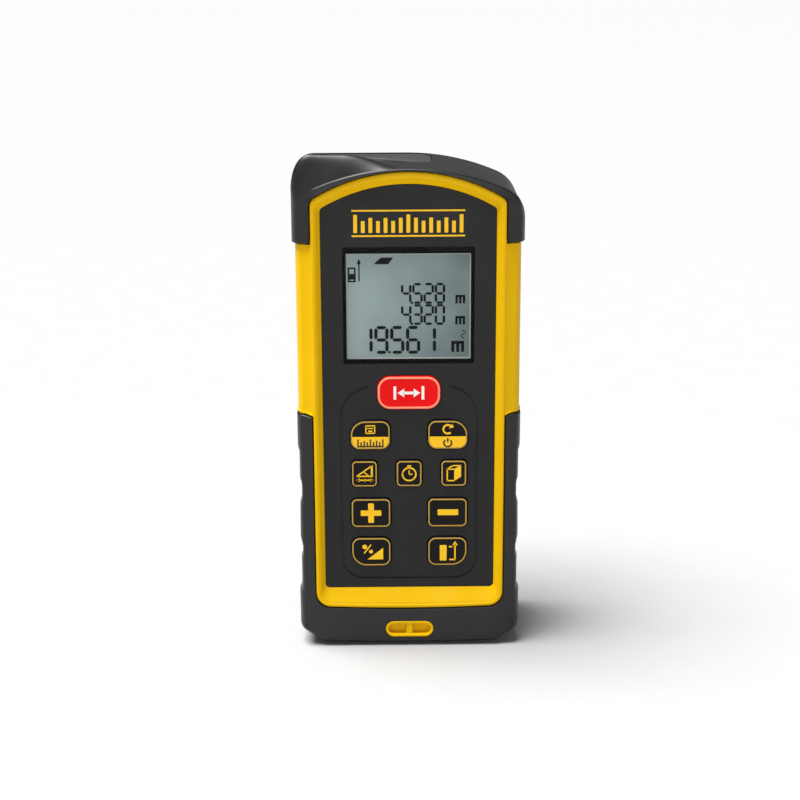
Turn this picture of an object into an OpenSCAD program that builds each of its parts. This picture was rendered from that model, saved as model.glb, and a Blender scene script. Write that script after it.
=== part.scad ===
// Laser distance meter, standing on its measuring end. Millimetres.
// X is the width, +Z runs up to the optics end, and the keys face -Y.
// Origin: centre of the end face that the meter stands on.

/* [Case] */
// Width of the hard case between its side walls
case_w = 56.6; // [54:0.1:68]
// Height from the standing face to the highest point of the upper boot
total_h = 128; // [122:0.5:156]
// Depth from the front rim to the back face
total_d = 31; // [29:0.5:38]
// Wall of the hard case
wall = 1.8; // [1.4:0.1:2.4]
// Radius of the arc over the optics end
top_arc_r = 59; // [50:0.5:80]
// Radius of the arc over the front rim
front_arc_r = 45.5; // [40:0.5:60]
// Depth over which the square corner over the laser rises behind the front edge
facet_d = 8; // [7:0.5:8]
// Radius of the square-looking top corner, over the laser
laser_corner_r = 6; // [4:0.5:8]
// Radius of the rounded top corner on the other side
round_corner_r = 8; // [6:0.5:10]
// Depth of the front half, from the front rim to the parting line
front_half_d = 9; // [9:0.1:9.4]

/* [Rubber boots] */
// How far the upper boot stands proud of the case
upper_proud = 0.8; // [0.5:0.1:1.2]
// How far the lower boot stands proud of the case
lower_proud = 0.5; // [0.3:0.1:0.9]
// How deep the boots are set into the case
boot_seat = 1.0; // [0.7:0.1:1.2]
// Rubber below the case
boot_foot = 2.6; // [2:0.1:3.5]
// Height of the upper boot's legs, down from the top
upper_leg = 19; // [14:0.5:26]
// Height of the lower boot's side grips at the outer edge
grip_h = 66; // [50:1:72]
// How far the top of each grip falls towards the front face
grip_fall = 2; // [0:0.5:4]

/* [Front face] */
// Width of the face plate
plate_w = 44.2; // [42:0.2:45]
// Height of the face plate's lower edge
plate_z0 = 16.7; // [15:0.1:20]
// Thickness of the face plate
plate_t = 1.0; // [0.8:0.1:1.4]
// How deep the face plate lies below the front rim
plate_sunk = 1.4; // [1:0.1:2]
// Width of the flat crest of the front rim
rim_w = 1.4; // [1:0.1:2]
// Width of the slope inside the rim at the sides
slope_side = 0.9; // [0.5:0.1:1.5]
// Width of the slope inside the rim at the bottom
slope_foot = 4.4; // [2:0.2:6]
// Width of the slope inside the rim at the top
slope_top = 1.5; // [0.8:0.1:2]

/* [Display] */
// Width of the clear window
window_w = 33.2; // [30:0.2:36]
// Height of the clear window
window_h = 30.2; // [26:0.2:31]
// Height of the window's centre above the standing face
window_z = 92.9; // [90:0.1:96]
// Width of the part of the display that shows
view_w = 31.6; // [28:0.2:32]
// Height of the part of the display that shows
view_h = 27.4; // [24:0.2:28]

/* [Keys] */
// Travel of every key
key_travel = 0.5; // [0.3:0.05:0.5]
// How far the keys stand proud of the face plate
key_proud = 0.6; // [0.4:0.1:0.8]
// Clearance round each key
key_gap = 0.2; // [0.15:0.05:0.3]
// Width of the wide keys
wide_key_w = 10.4; // [8.6:0.1:11]
// Width of the small square keys
small_key_w = 6.8; // [6:0.1:7.4]

/* [Batteries and door] */
// Diameter of one cell
cell_d = 10.5; // [10:0.1:10.5]
// Length of one cell
cell_l = 44.5; // [37:0.1:45]
// Thickness of the battery door
door_t = 1.8; // [1.4:0.1:2.2]
// Gap round the battery door
door_gap = 0.3; // [0.2:0.05:0.4]
// Height of the battery door's hinge above the standing face
door_z = 29; // [28.5:0.5:31]

/* [End bracket] */
// Width of the fold-out end bracket
bracket_w = 22; // [16:0.5:24]
// Reach of the bracket from its hinge axis
bracket_l = 20.5; // [17:0.1:21]
// Thickness of the bracket's plate
bracket_t = 2.2; // [1.6:0.1:2.4]
// Distance of the hinge axis from the back face and from the standing face
bracket_axis = 3.0; // [2.9:0.1:3.2]
// Radius of the bracket's hinge pin
bracket_pin_r = 1.0; // [0.8:0.1:1.2]

/* [Optics] */
// Distance of the laser axis from the centre line, towards -X
laser_x = 17.5; // [16:0.5:18]
// Distance of the receiver axis from the centre line, towards -X
receiver_x = 3; // [1:0.5:3.5]
// Diameter of the receiver lens
receiver_d = 16; // [14:0.5:17]
// Depth of both optical axes behind the middle of the case
optics_y = 4; // [3:0.5:5]
// Outer diameter of the laser barrel
barrel_d = 8; // [7:0.5:9]

/* [Tripod thread] */
// Radius of the tripod thread, at its crest
tripod_r = 3.175; // [3.175:0.001:3.175]
// Outer radius of the threaded insert
insert_r = 4.6; // [4.4:0.1:5]
// Length of the threaded insert
insert_l = 7; // [6:0.5:8]

/* [Lanyard eye] */
// Width of the lanyard eye
eye_w = 12.7; // [10:0.1:14]
// Height of the lanyard eye
eye_h = 4.5; // [4:0.1:5]
// Height of the eye's centre above the standing face
eye_z = 5.2; // [5:0.1:6]

/* [Hidden] */
$fn = 48;

YELLOW = [1.0, 0.78, 0.0];
BLACK = [0.16, 0.16, 0.17];
RUBBER = [0.20, 0.20, 0.21];
tiny = 0.01;
slice = 0.05;
overcut = 1;

// --- places along Y: the case is centred on its depth ---
y_front = -total_d / 2;
y_back = total_d / 2;
y_split = y_front + front_half_d;
y_plate = y_front + plate_sunk;
y_floor = y_plate + plate_t;
floor_t = 1.6;
y_floor_back = y_floor + floor_t;
flange_t = 0.6;
flange_w = 0.7;
y_flange = y_floor_back + 0.1;
y_mat = y_flange + flange_t + key_travel + 0.1;
mat_t = 0.5;
dome_h = 0.3;
y_plunger = y_mat + 0.25;
y_dome = y_plunger + key_travel + 0.05;
board_t = 1.2;
y_board = y_dome + dome_h;
y_board_back = y_board + board_t;

// --- outlines in the XZ plane ---
case_z0 = boot_foot - boot_seat;
case_top = total_h - upper_proud;
half_w = case_w / 2;
rim_foot = 1.2;
rim_t = 1.5;
plate_gap = 0.1;
rim_depth = 4;
foot_corner_x = 5;
foot_corner_z = 4;
shoulder_d = 5.5;
shoulder_in = 0.1;
hollow_d = 6.5;
// Rounding of the case's edges: pairs of depth behind the face and inset there.
FRONT_EDGE = [[0.4, 3.0], [1.4, 1.1]];
BACK_EDGE = [[1.4, 0.8], [0, 2.8]];
back_round = 3.6;
hollow_edge = 1.2;
hollow_back = 1.6;
bezel_w = plate_w + 2 * (slope_side + rim_w);
bezel_z0 = plate_z0 - slope_foot - rim_foot;
bezel_top = case_top - 0.4;
plate_top = bezel_top - rim_w - slope_top;
plate_arc_r = front_arc_r - rim_w - slope_top;

function arc(cx, cz, r, from, to, n = 10) =
    [for (i = [0:n]) let (a = from + (to - from) * i / n) [cx + r * cos(a), cz + r * sin(a)]];

// Centre height of a fillet of radius r between a side at x = hw and the arc of radius big_r.
function fillet_z(hw, top, big_r, r) = top - big_r + sqrt(pow(big_r - r, 2) - pow(hw - r, 2));
function fillet_angle(hw, top, big_r, r) =
    atan2(fillet_z(hw, top, big_r, r) - (top - big_r), hw - r);

// Outline of the case, inset by t: an arc over the top, square or round on the laser side.
function case_pts(t, square = true) =
    let (hw = half_w - t, z0 = case_z0 + t, top = case_top - t, r = top_arc_r - t,
        rr = round_corner_r - t, rl = laser_corner_r - t,
        cx = foot_corner_x, cz = foot_corner_z,
        rz = fillet_z(hw, top, r, rr), ra = fillet_angle(hw, top, r, rr))
    concat(
        [[-hw + cx, z0], [hw - cx, z0], [hw, z0 + cz]],
        arc(hw - rr, rz, rr, 0, ra),
        arc(0, top - r, r, ra, 90, 16),
        square ? concat([[-hw + rl, top]], arc(-hw + rl, top - rl, rl, 90, 180))
            : concat(arc(0, top - r, r, 90, 180 - ra, 16), arc(-hw + rr, rz, rr, 180 - ra, 180)),
        [[-hw, z0 + cz]]);

// Outline with an arc over the top and small corner radii, symmetric about x = 0.
function face_pts(w, z0, top, big_r, r_foot, r_top) =
    let (hw = w / 2, rz = fillet_z(hw, top, big_r, r_top), ra = fillet_angle(hw, top, big_r, r_top))
    concat(
        arc(-hw + r_foot, z0 + r_foot, r_foot, 180, 270, 8),
        arc(hw - r_foot, z0 + r_foot, r_foot, 270, 360, 8),
        arc(hw - r_top, rz, r_top, 0, ra, 6),
        arc(0, top - big_r, big_r, ra, 180 - ra, 24),
        arc(-hw + r_top, rz, r_top, 180 - ra, 180, 6));

// Rectangle with its own radius at each corner: top left, top right, bottom right, bottom left.
function key_pts(w, h, radii, grow = 0) =
    let (x = w / 2 + grow, z = h / 2 + grow, r = [for (q = radii) q + grow])
    concat(
        arc(x - r[1], z - r[1], r[1], 0, 90, 6), arc(-x + r[0], z - r[0], r[0], 90, 180, 6),
        arc(-x + r[3], -z + r[3], r[3], 180, 270, 6), arc(x - r[2], -z + r[2], r[2], 270, 360, 6));

// --- the keys: name, x, z, width, height, corner radii ---
column_x = 10;
small_column_x = 11.6;
big_r = 4.6;
small_r = 2.2;
KEYS = [
    ["measure_key", 0, 70.2, 16.3, 8.8, [3.4, 3.4, 3.4, 3.4]],
    ["units_key", -column_x, 58.9, wide_key_w, 7.8, [big_r, small_r, 2.4, 2.4]],
    ["clear_key", column_x, 58.9, wide_key_w, 7.8, [small_r, big_r, 2.4, 2.4]],
    ["triangle_key", -small_column_x, 48.4, small_key_w, 7.2, [1.3, 1.3, 1.3, 1.3]],
    ["timer_key", 0, 48.4, small_key_w, 7.2, [1.3, 1.3, 1.3, 1.3]],
    ["volume_key", small_column_x, 48.4, small_key_w, 7.2, [1.3, 1.3, 1.3, 1.3]],
    ["plus_key", -column_x, 37.6, wide_key_w, 8.0, [1.5, 1.5, 1.5, 1.5]],
    ["minus_key", column_x, 37.6, wide_key_w, 8.0, [1.5, 1.5, 1.5, 1.5]],
    ["slope_key", -column_x, 26.8, wide_key_w, 8.0, [small_r, small_r, small_r, big_r]],
    ["reference_key", column_x, 26.8, wide_key_w, 8.0, [small_r, small_r, big_r, small_r]]];
plunger_r = 1.5;

// --- fasteners ---
case_screw_at = [[-21.5, 19.5], [21.5, 19.5], [-21.5, 86.5], [21.5, 86.5]];
case_screw_r = 1.1;
case_head_r = 2.1;
case_head_h = 1.5;
case_boss_r = 3;
board_boss_r = 2;
screw_grip = 4.4;
board_grip = 1.4;
hole_spare = 0.2;
boss_play = 0.4;
head_sunk = 2.2;
board_w = 46;
board_z0 = 12.5;
board_z1 = 115;
board_screw_at = [[-20.5, 68], [20.5, 68], [-20.5, 107], [20.5, 107]];
board_screw_r = 0.9;

// --- batteries ---
cell_gap = 0.6;
cell_x = (cell_d + cell_gap) / 2;
door_side = 2 * cell_x + cell_d + 2.6;
spring_l = 3.2;
contact_t = 0.3;
contact_gap = 0.02;
tray_wall = 1;
tray_lap = 1.2;
bay_l = cell_l + spring_l + 2 * contact_t + 2 * contact_gap;
door_l = bay_l + 2 * tray_wall + 2 * tray_lap;
door_top = door_z + door_l;
tray_w = door_side - 1.6;
tray_z0 = door_z + tray_lap;
tray_z1 = door_top - tray_lap;
bay_z0 = tray_z0 + tray_wall;
bay_z1 = bay_z0 + bay_l;
tray_y1 = y_back - door_t - 0.8;
cell_y = tray_y1 - cell_d / 2 - 0.2;
tray_y0 = cell_y - cell_d / 2 - tray_wall;
door_hinge_r = door_t / 2;
door_hinge_y = y_back - door_hinge_r;
trunnion_r = 0.6;
trunnion_l = 1;
trunnion_half = door_side / 2 + door_gap + trunnion_l;
trunnion_play = 0.2;
door_frame = 2.4;
door_frame_y = 4.6;
rib_t = 1.6;
screw_play = 0.15;

// --- end bracket ---
bracket_y = y_back - bracket_axis;
bracket_z = bracket_axis;
knuckle_r = bracket_axis - 0.4;
bracket_gap = 0.4;
notch_w = bracket_w + 2 * bracket_gap;
notch_h = bracket_z + knuckle_r + bracket_gap;
notch_y = bracket_y - bracket_axis - bracket_gap;
pin_in_wall = 1.6;
pin_half = notch_w / 2 + pin_in_wall;
pin_spare = 0.1;
running_fit = 0.05;

// --- optics ---
laser_pos = [-laser_x, optics_y];
receiver_pos = [-receiver_x, optics_y];
chassis_z0 = board_z1 - 17;
chassis_z1 = case_top - boot_seat - wall - 4.5;
window_t = 1.2;
window_drop = 0.5;
window_play = 0.3;
window_top = total_h - window_drop;
exit_w = laser_x - receiver_x + receiver_d / 2 + barrel_d / 2 + 3;
exit_x = -(laser_x + barrel_d / 2 + 1.5) + exit_w / 2;
exit_d = receiver_d + 1.4;
exit_corner = 4;

// --- tripod thread ---
tripod_z = door_top + insert_r + 2.4;

module slab(y0, y1) {
    translate([0, y1, 0]) rotate([90, 0, 0]) linear_extrude(y1 - y0) children();
}

module rod_y(x, z, r, y0, y1) {
    translate([x, y1, z]) rotate([90, 0, 0]) cylinder(r = r, h = y1 - y0);
}

module rod_x(y, z, r, x0, x1) {
    translate([x0, y, z]) rotate([0, 90, 0]) cylinder(r = r, h = x1 - x0);
}

module rod_z(x, y, r, z0, z1) {
    translate([x, y, z0]) cylinder(r = r, h = z1 - z0);
}

module rounded(w, h, r) {
    polygon(key_pts(w, h, [r, r, r, r]));
}

// Solid shape of the case, inset by t all round (negative t grows it).
module case_solid(t) {
    hull() {
        for (e = FRONT_EDGE) slab(y_front + e[0] + t, y_front + e[0] + t + slice)
            polygon(case_pts(t + e[1], false));
        slab(y_front + shoulder_d, y_front + shoulder_d + slice) polygon(case_pts(t + shoulder_in, false));
        slab(y_front + facet_d, y_back - back_round) polygon(case_pts(t));
        for (e = BACK_EDGE) slab(y_back - e[0] - t - slice, y_back - e[0] - t) polygon(case_pts(t + e[1]));
    }
}

// The hollow inside the case, one wall thick all round.
module case_hollow() {
    hull() {
        slab(y_floor_back, y_floor_back + slice) polygon(case_pts(wall + boot_seat + hollow_edge, false));
        slab(y_front + hollow_d, y_front + hollow_d + slice)
            polygon(case_pts(wall + boot_seat + shoulder_in, false));
        slab(y_front + facet_d, y_back - back_round - 0.2) polygon(case_pts(wall + boot_seat));
        slab(y_back - wall - slice, y_back - wall) polygon(case_pts(wall + boot_seat + hollow_back));
    }
}

module bezel_outline(grow = 0) {
    polygon(face_pts(bezel_w + 2 * grow, bezel_z0 - grow, bezel_top + grow, front_arc_r + grow,
        4 + grow, 3 + grow));
}

module plate_outline(grow = 0) {
    polygon(face_pts(plate_w + 2 * grow, plate_z0 - grow, plate_top + grow, plate_arc_r + grow,
        1 + grow, 1 + grow));
}

// Everything that the lower boot may cover, seen from the front.
zone_reach = 5;
foot_band = 4;
module lower_zone(grow = 0) {
    inner = bezel_w / 2 - grow;
    outer = half_w + zone_reach;
    top = grip_h + grow;
    slant = grip_fall * (outer - inner) / (half_w - inner);
    difference() {
        polygon([[-outer, -zone_reach], [outer, -zone_reach], [outer, top + slant - grip_fall],
            [inner, top - grip_fall], [inner, tiny - zone_reach], [-inner, tiny - zone_reach],
            [-inner, top - grip_fall], [-outer, top + slant - grip_fall]]);
        bezel_outline(-grow);
    }
    difference() {
        translate([-inner - tiny, -zone_reach])
            square([2 * inner + 2 * tiny, bezel_z0 + zone_reach + foot_band]);
        bezel_outline(-grow);
    }
}

// Everything that the upper boot may cover, seen from the front.
module upper_zone(grow = 0) {
    leg_z = total_h - upper_leg - grow;
    difference() {
        translate([-half_w - zone_reach, leg_z])
            square([case_w + 2 * zone_reach, upper_leg + 2 * zone_reach]);
        bezel_outline(-grow);
    }
}

// The hard case before it is split: full size between the boots, inset under them.
module case_body() {
    case_solid(boot_seat);
    difference() {
        case_solid(0);
        slab(y_front - overcut, y_back + overcut) lower_zone();
        slab(y_front - overcut, y_back + overcut) upper_zone();
    }
}

module end_bracket_space() {
    translate([-notch_w / 2, notch_y, -overcut])
        cube([notch_w, y_back - notch_y + overcut, notch_h + overcut]);
    translate([-notch_w / 2, bracket_y + bracket_axis - bracket_t - bracket_gap, bracket_z])
        cube([notch_w, bracket_t + bracket_gap + overcut, bracket_l + 1]);
}

module exit_outline(grow = 0) {
    translate([exit_x, optics_y]) polygon(key_pts(exit_w, exit_d, [1, 1, 1, 1] * exit_corner, grow));
}

module eye_outline(grow = 0) {
    translate([0, eye_z]) polygon(key_pts(eye_w, eye_h, [1, 1, 1, 1] * (eye_h / 2 - tiny), grow));
}

module front_housing() {
    color(YELLOW) difference() {
        union() {
            difference() {
                case_body();
                slab(y_split, y_back + overcut) square(400, center = true);
                case_hollow();
            }
            slab(y_front, y_front + rim_t) bezel_outline();
            for (p = case_screw_at) rod_y(p[0], p[1], case_boss_r, y_floor_back - tiny, y_split);
            for (p = board_screw_at) rod_y(p[0], p[1], board_boss_r, y_floor_back - tiny, y_board);
        }
        hull() {
            slab(y_front - slice, y_front) polygon(face_pts(plate_w + 2 * slope_side, plate_z0 - slope_foot,
                plate_top + slope_top, plate_arc_r + slope_top, 3, 2));
            slab(y_plate, y_plate + slice) plate_outline(plate_gap);
        }
        slab(y_plate, y_floor) plate_outline(plate_gap);
        for (k = KEYS) slab(y_floor - overcut, y_floor_back + overcut) translate([k[1], k[2]])
            polygon(key_pts(k[3], k[4], k[5], key_gap));
        slab(y_floor - tiny, y_floor_back + overcut) translate([0, window_z])
            square([lcd_w + 4 * plate_gap, lcd_h + 4 * plate_gap], center = true);
        for (p = case_screw_at)
            rod_y(p[0], p[1], case_screw_r, y_split - screw_grip - hole_spare, y_split + overcut);
        for (p = board_screw_at)
            rod_y(p[0], p[1], board_screw_r, y_board - board_grip - hole_spare, y_board + overcut);
        slab(y_front - overcut, y_front + anchor_depth + hole_spare) eye_outline(running_fit);
        seal_ring();
    }
}

module rear_housing() {
    color(YELLOW) difference() {
        union() {
            difference() {
                case_body();
                slab(y_front - overcut, y_split) square(400, center = true);
                case_hollow();
            }
            intersection() {
                case_solid(boot_seat);
                union() {
                    for (p = case_screw_at) rod_y(p[0], p[1], case_boss_r, y_split, y_back - 1);
                    rod_y(0, tripod_z, insert_r + rib_t, y_back - insert_l - 1, y_back - 1);
                    translate([-notch_w / 2 - 2 * rib_t, notch_y - rib_t, case_z0])
                        cube([notch_w + 4 * rib_t, y_back - notch_y, notch_h + rib_t]);
                    translate([-notch_w / 2 - rib_t, y_back - bracket_t - wall, case_z0])
                        cube([notch_w + 2 * rib_t, bracket_t + wall - 0.5, bracket_z + bracket_l + rib_t]);
                    translate([-door_side / 2 - door_frame, y_back - door_frame_y, door_z - 2])
                        cube([door_side + 2 * door_frame, 3, door_l + 5]);
                }
            }
        }
        end_bracket_space();
        rod_x(bracket_y, bracket_z, bracket_pin_r, -pin_half, pin_half);
        // Opening for the battery door, and the well for the tray under it.
        translate([-door_side / 2 - door_gap, y_back - door_t - 0.1, door_z - door_hinge_r - door_gap])
            cube([door_side + 2 * door_gap, door_t + overcut, door_l + door_hinge_r + 2 * door_gap]);
        translate([-tray_w / 2 - 0.1, y_back - 6, tray_z0 - 0.1])
            cube([tray_w + 0.2, 6, tray_z1 - tray_z0 + 0.2]);
        rod_x(door_hinge_y, door_z, trunnion_r + running_fit, -trunnion_half, trunnion_half);
        for (p = case_screw_at) {
            rod_y(p[0], p[1], case_screw_r + screw_play, y_split - overcut, y_back);
            rod_y(p[0], p[1], case_head_r + screw_play, y_back - head_sunk - case_head_h, y_back + overcut);
        }
        rod_y(0, tripod_z, insert_r, y_back - insert_l, y_back + overcut);
        translate([0, 0, chassis_z1 - 1]) linear_extrude(total_h) exit_outline(0.1);
        translate([-plate_mark_w / 2, y_back - mark_d, plate_mark_z])
            cube([plate_mark_w, overcut, plate_mark_h]);
    }
}

// Rubber cord in a groove half way through the wall, at the parting line.
seal_w = 0.9;
seal_in = 0.45;
module seal_ring() {
    slab(y_split - seal_w, y_split) difference() {
        polygon(case_pts(boot_seat + seal_in));
        polygon(case_pts(boot_seat + seal_in + seal_w));
    }
}
module housing_seal() {
    color(BLACK) seal_ring();
}

module upper_boot() {
    color(RUBBER) difference() {
        intersection() {
            case_solid(-upper_proud);
            slab(y_front - zone_reach, y_back + zone_reach) upper_zone(-running_fit);
        }
        case_solid(boot_seat);
        slab(y_front - overcut, y_front + rim_depth) bezel_outline(running_fit);
        translate([0, 0, chassis_z1 - 1]) linear_extrude(total_h) exit_outline(0.1);
    }
}

// Steps in the sides of the grip: lower end, upper end and depth of each.
step_in = 3;
foot_in = 2.6;
GRIP_STEPS = [[43.2, 51.8, 0.55], [36.9, 43.2, 1.1], [27, 36.9, 0.6], [22, 27, 1.15], [12.5, 22, 0.65]];
module lower_boot() {
    side = half_w + lower_proud;
    color(RUBBER) difference() {
        intersection() {
            hull() {
                case_solid(-lower_proud);
                slab(y_front + foot_in, y_back - foot_in) polygon([[-half_w + foot_corner_x, 0],
                    [half_w - foot_corner_x, 0], [half_w - foot_in, foot_in], [foot_in - half_w, foot_in]]);
            }
            slab(y_front - zone_reach, y_back + zone_reach) lower_zone(-running_fit);
            translate([-case_w, -case_w, 0]) cube(2 * case_w);
        }
        case_solid(boot_seat);
        slab(y_front - overcut, y_front + rim_depth) bezel_outline(running_fit);
        for (s = GRIP_STEPS, m = [0, 1]) mirror([m, 0, 0])
            translate([side - s[2], y_front + step_in, s[0]])
                cube([zone_reach, total_d - 2 * step_in, s[1] - s[0]]);
        end_bracket_space();
        rod_x(bracket_y, bracket_z, bracket_pin_r + tiny, -pin_half, pin_half);
        slab(y_front - overcut, y_front + anchor_depth + hole_spare) eye_outline(running_fit);
    }
}

// Groove round the keypad, open at the top round the measure key.
groove_w = 0.7;
groove_d = 0.3;
pad_w = 35.8;
pad_h = 53;
pad_z = 45.6;
PAD_RADII = [8, 8, 6, 6];
pad_open_w = 21;
pad_open_z = 60;
module keypad_groove() {
    difference() {
        slab(y_plate - overcut, y_plate + groove_d) translate([0, pad_z]) difference() {
            polygon(key_pts(pad_w, pad_h, PAD_RADII));
            polygon(key_pts(pad_w, pad_h, PAD_RADII, -groove_w));
        }
        translate([-pad_open_w / 2, y_front - overcut, pad_open_z])
            cube([pad_open_w, total_d / 4, pad_h / 2]);
    }
}

module face_plate() {
    color(BLACK) difference() {
        slab(y_plate, y_floor) plate_outline();
        for (k = KEYS) slab(y_plate - overcut, y_floor + overcut) translate([k[1], k[2]])
            polygon(key_pts(k[3], k[4], k[5], key_gap));
        slab(y_plate - overcut, y_floor + overcut) translate([0, window_z])
            rounded(window_w + 0.2, window_h + 0.2, 0.5);
        keypad_groove();
    }
}

window_sunk = 0.3;
frame_t = 0.5;
frame_drop = 0.4;
lcd_w = view_w + 4.2;
lcd_h = view_h + 5;
y_frame = y_floor + running_fit;
y_lcd = y_frame + frame_t;
lcd_t = 1.8;
module display_window() {
    color([0.8, 0.86, 0.88, 0.35]) slab(y_plate + window_sunk, y_frame - contact_gap)
        translate([0, window_z]) rounded(window_w, window_h, 0.4);
}

module display_frame() {
    color(BLACK) slab(y_frame, y_lcd) difference() {
        translate([0, window_z]) square([lcd_w - 0.4, lcd_h - 0.2], center = true);
        translate([0, window_z - frame_drop]) square([view_w, view_h], center = true);
    }
}

module lcd_panel() {
    color([0.55, 0.63, 0.62]) slab(y_lcd, y_lcd + lcd_t) translate([0, window_z])
        square([lcd_w, lcd_h], center = true);
}

module backlight() {
    color([0.9, 0.92, 0.9]) slab(y_lcd + lcd_t, y_board) translate([0, window_z])
        square([lcd_w - 1, lcd_h - 1], center = true);
}

mat_w = 36;
mat_z0 = 22.1;
mat_z1 = 75.5;
mat_corner = 3;
module key_mat() {
    color([0.55, 0.55, 0.56]) slab(y_mat, y_mat + mat_t) difference() {
        translate([0, (mat_z0 + mat_z1) / 2]) rounded(mat_w, mat_z1 - mat_z0, mat_corner);
        for (k = KEYS) translate([k[1], k[2]]) circle(r = plunger_r + boss_play);
    }
}

dome_r = 2;
dome_top_r = 1.1;
module dome_switches() {
    color([0.75, 0.75, 0.75]) for (k = KEYS) translate([k[1], y_board, k[2]])
        rotate([90, 0, 0]) cylinder(r1 = dome_r, r2 = dome_top_r, h = dome_h);
}

module main_board() {
    color([0.05, 0.35, 0.18]) difference() {
        slab(y_board, y_board_back) translate([0, (board_z0 + board_z1) / 2])
            rounded(board_w, board_z1 - board_z0, 2);
        for (p = case_screw_at)
            rod_y(p[0], p[1], case_boss_r + boss_play, y_board - overcut, y_board_back + overcut);
        for (p = board_screw_at)
            rod_y(p[0], p[1], board_screw_r, y_board - overcut, y_board_back + overcut);
        for (x = optics_screw_x)
            rod_y(x, optics_screw_z, board_screw_r, y_board - overcut, y_board_back + overcut);
    }
}

// Parts on the back of the board: x, z, width, height and thickness of each.
PROCESSOR = [0, 48, 10, 10, 1.2];
TILT_SENSOR = [14, 52, 4, 4, 1];
BUZZER = [-17, 38, 8, 8, 2.6];
SHIELD = [0, 88, 18, 14, 2.6];
RIBBON = [13.5, 97, 5, 9, 0.3];
SOCKET = [13.5, 104, 7, 5, 1.4];
can_wall = 0.3;
module chip(p, skin = 0) {
    translate([p[0] - p[2] / 2 + skin, y_board_back, p[1] - p[3] / 2 + skin])
        cube([p[2] - 2 * skin, p[4] - skin, p[3] - 2 * skin]);
}

module processor() {
    color([0.1, 0.1, 0.11]) chip(PROCESSOR);
}

module tilt_sensor() {
    color([0.12, 0.12, 0.13]) chip(TILT_SENSOR);
}

module buzzer() {
    color([0.1, 0.1, 0.1]) rod_y(BUZZER[0], BUZZER[1], BUZZER[2] / 2, y_board_back, y_board_back + BUZZER[4]);
}

module shield_can() {
    color([0.75, 0.76, 0.78]) difference() {
        chip(SHIELD);
        chip(SHIELD, can_wall);
    }
}

// Flat ribbon on the back of the board, up to its socket.
module display_ribbon() {
    color([0.85, 0.55, 0.15]) {
        chip(RIBBON);
        chip(SOCKET);
    }
}

optics_screw_x = [-13, 3];
optics_screw_z = board_z1 - 2.4;
optics_screw_l = 3;
optics_head_r = 1.6;
optics_head_h = 0.8;
post_w = 4;
chassis_w = exit_w - 1;
chassis_d = receiver_d + 1;
tube_r = receiver_d / 2 - 1;
lens_r = receiver_d / 2 - 0.55;
lens_seat_d = 5;
ring_h = 1.45;
ring_w = 1.25;
module optics_chassis() {
    color([0.2, 0.2, 0.21]) difference() {
        union() {
            translate([exit_x - chassis_w / 2, optics_y - chassis_d / 2, chassis_z0])
                cube([chassis_w, chassis_d, chassis_z1 - chassis_z0]);
            for (x = optics_screw_x)
                translate([x - post_w / 2, y_board_back, optics_screw_z - post_w / 2])
                    cube([post_w, optics_y - chassis_d / 2 - y_board_back + 0.5, post_w]);
        }
        rod_z(receiver_pos[0], receiver_pos[1], tube_r, chassis_z0 + 2, chassis_z1 + overcut);
        rod_z(receiver_pos[0], receiver_pos[1], lens_r + running_fit,
            chassis_z1 - lens_seat_d, chassis_z1 + overcut);
        rod_z(receiver_pos[0], receiver_pos[1], sensor_r + 0.1, chassis_z0 - overcut, chassis_z0 + sensor_h);
        rod_z(laser_pos[0], laser_pos[1], barrel_d / 2 + running_fit,
            chassis_z0 - overcut, chassis_z1 + overcut);
        for (x = optics_screw_x)
            rod_y(x, optics_screw_z, board_screw_r, y_board - overcut, y_board_back + optics_screw_l);
    }
}

module optics_screws() {
    color([0.6, 0.6, 0.62]) for (x = optics_screw_x) {
        rod_y(x, optics_screw_z, board_screw_r, y_board - tiny, y_board_back + optics_screw_l - 0.2);
        rod_y(x, optics_screw_z, optics_head_r, y_board - optics_head_h, y_board);
    }
}

barrel_r = barrel_d / 2;
bore_r = barrel_r - 1;
barrel_tail = 3;
module laser_barrel() {
    color([0.8, 0.65, 0.3]) difference() {
        rod_z(laser_pos[0], laser_pos[1], barrel_r, chassis_z0 - barrel_tail, chassis_z1);
        rod_z(laser_pos[0], laser_pos[1], bore_r, chassis_z0 - barrel_tail - overcut, chassis_z1 + overcut);
    }
}

// Base, can and three legs, from the base's lower face up and down.
base_h = 1.4;
can_r = 1.9;
can_h = 3;
leg_r = 0.22;
leg_l = 4.5;
leg_ring_r = 1.1;
module laser_diode() {
    base_z = chassis_z0 - 1;
    color([0.8, 0.75, 0.5]) {
        rod_z(laser_pos[0], laser_pos[1], bore_r - running_fit, base_z, base_z + base_h);
        rod_z(laser_pos[0], laser_pos[1], can_r, base_z + base_h, base_z + base_h + can_h);
        for (a = [0, 120, 240])
            rod_z(laser_pos[0] + leg_ring_r * cos(a), laser_pos[1] + leg_ring_r * sin(a), leg_r,
                base_z - leg_l, base_z);
    }
}

// A lens: two shallow spherical faces on a short cylinder.
lens_fn = 160;
module lens(p, r, z, bulge, edge) {
    ball = (r * r + bulge * bulge) / (2 * bulge);
    intersection() {
        rod_z(p[0], p[1], r, z - edge / 2 - bulge, z + edge / 2 + bulge);
        translate([p[0], p[1], z + edge / 2 + bulge - ball]) sphere(r = ball, $fn = lens_fn);
        translate([p[0], p[1], z - edge / 2 - bulge + ball]) sphere(r = ball, $fn = lens_fn);
    }
}

module collimator_lens() {
    color([0.75, 0.8, 0.9, 0.5]) lens(laser_pos, bore_r - running_fit, chassis_z1 - 3, 0.5, 1);
}

module receiver_lens() {
    edge = 2;
    color([0.75, 0.8, 0.9, 0.5]) lens(receiver_pos, lens_r, chassis_z1 - ring_h - edge / 2 - 0.5, 1, edge);
}

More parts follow.
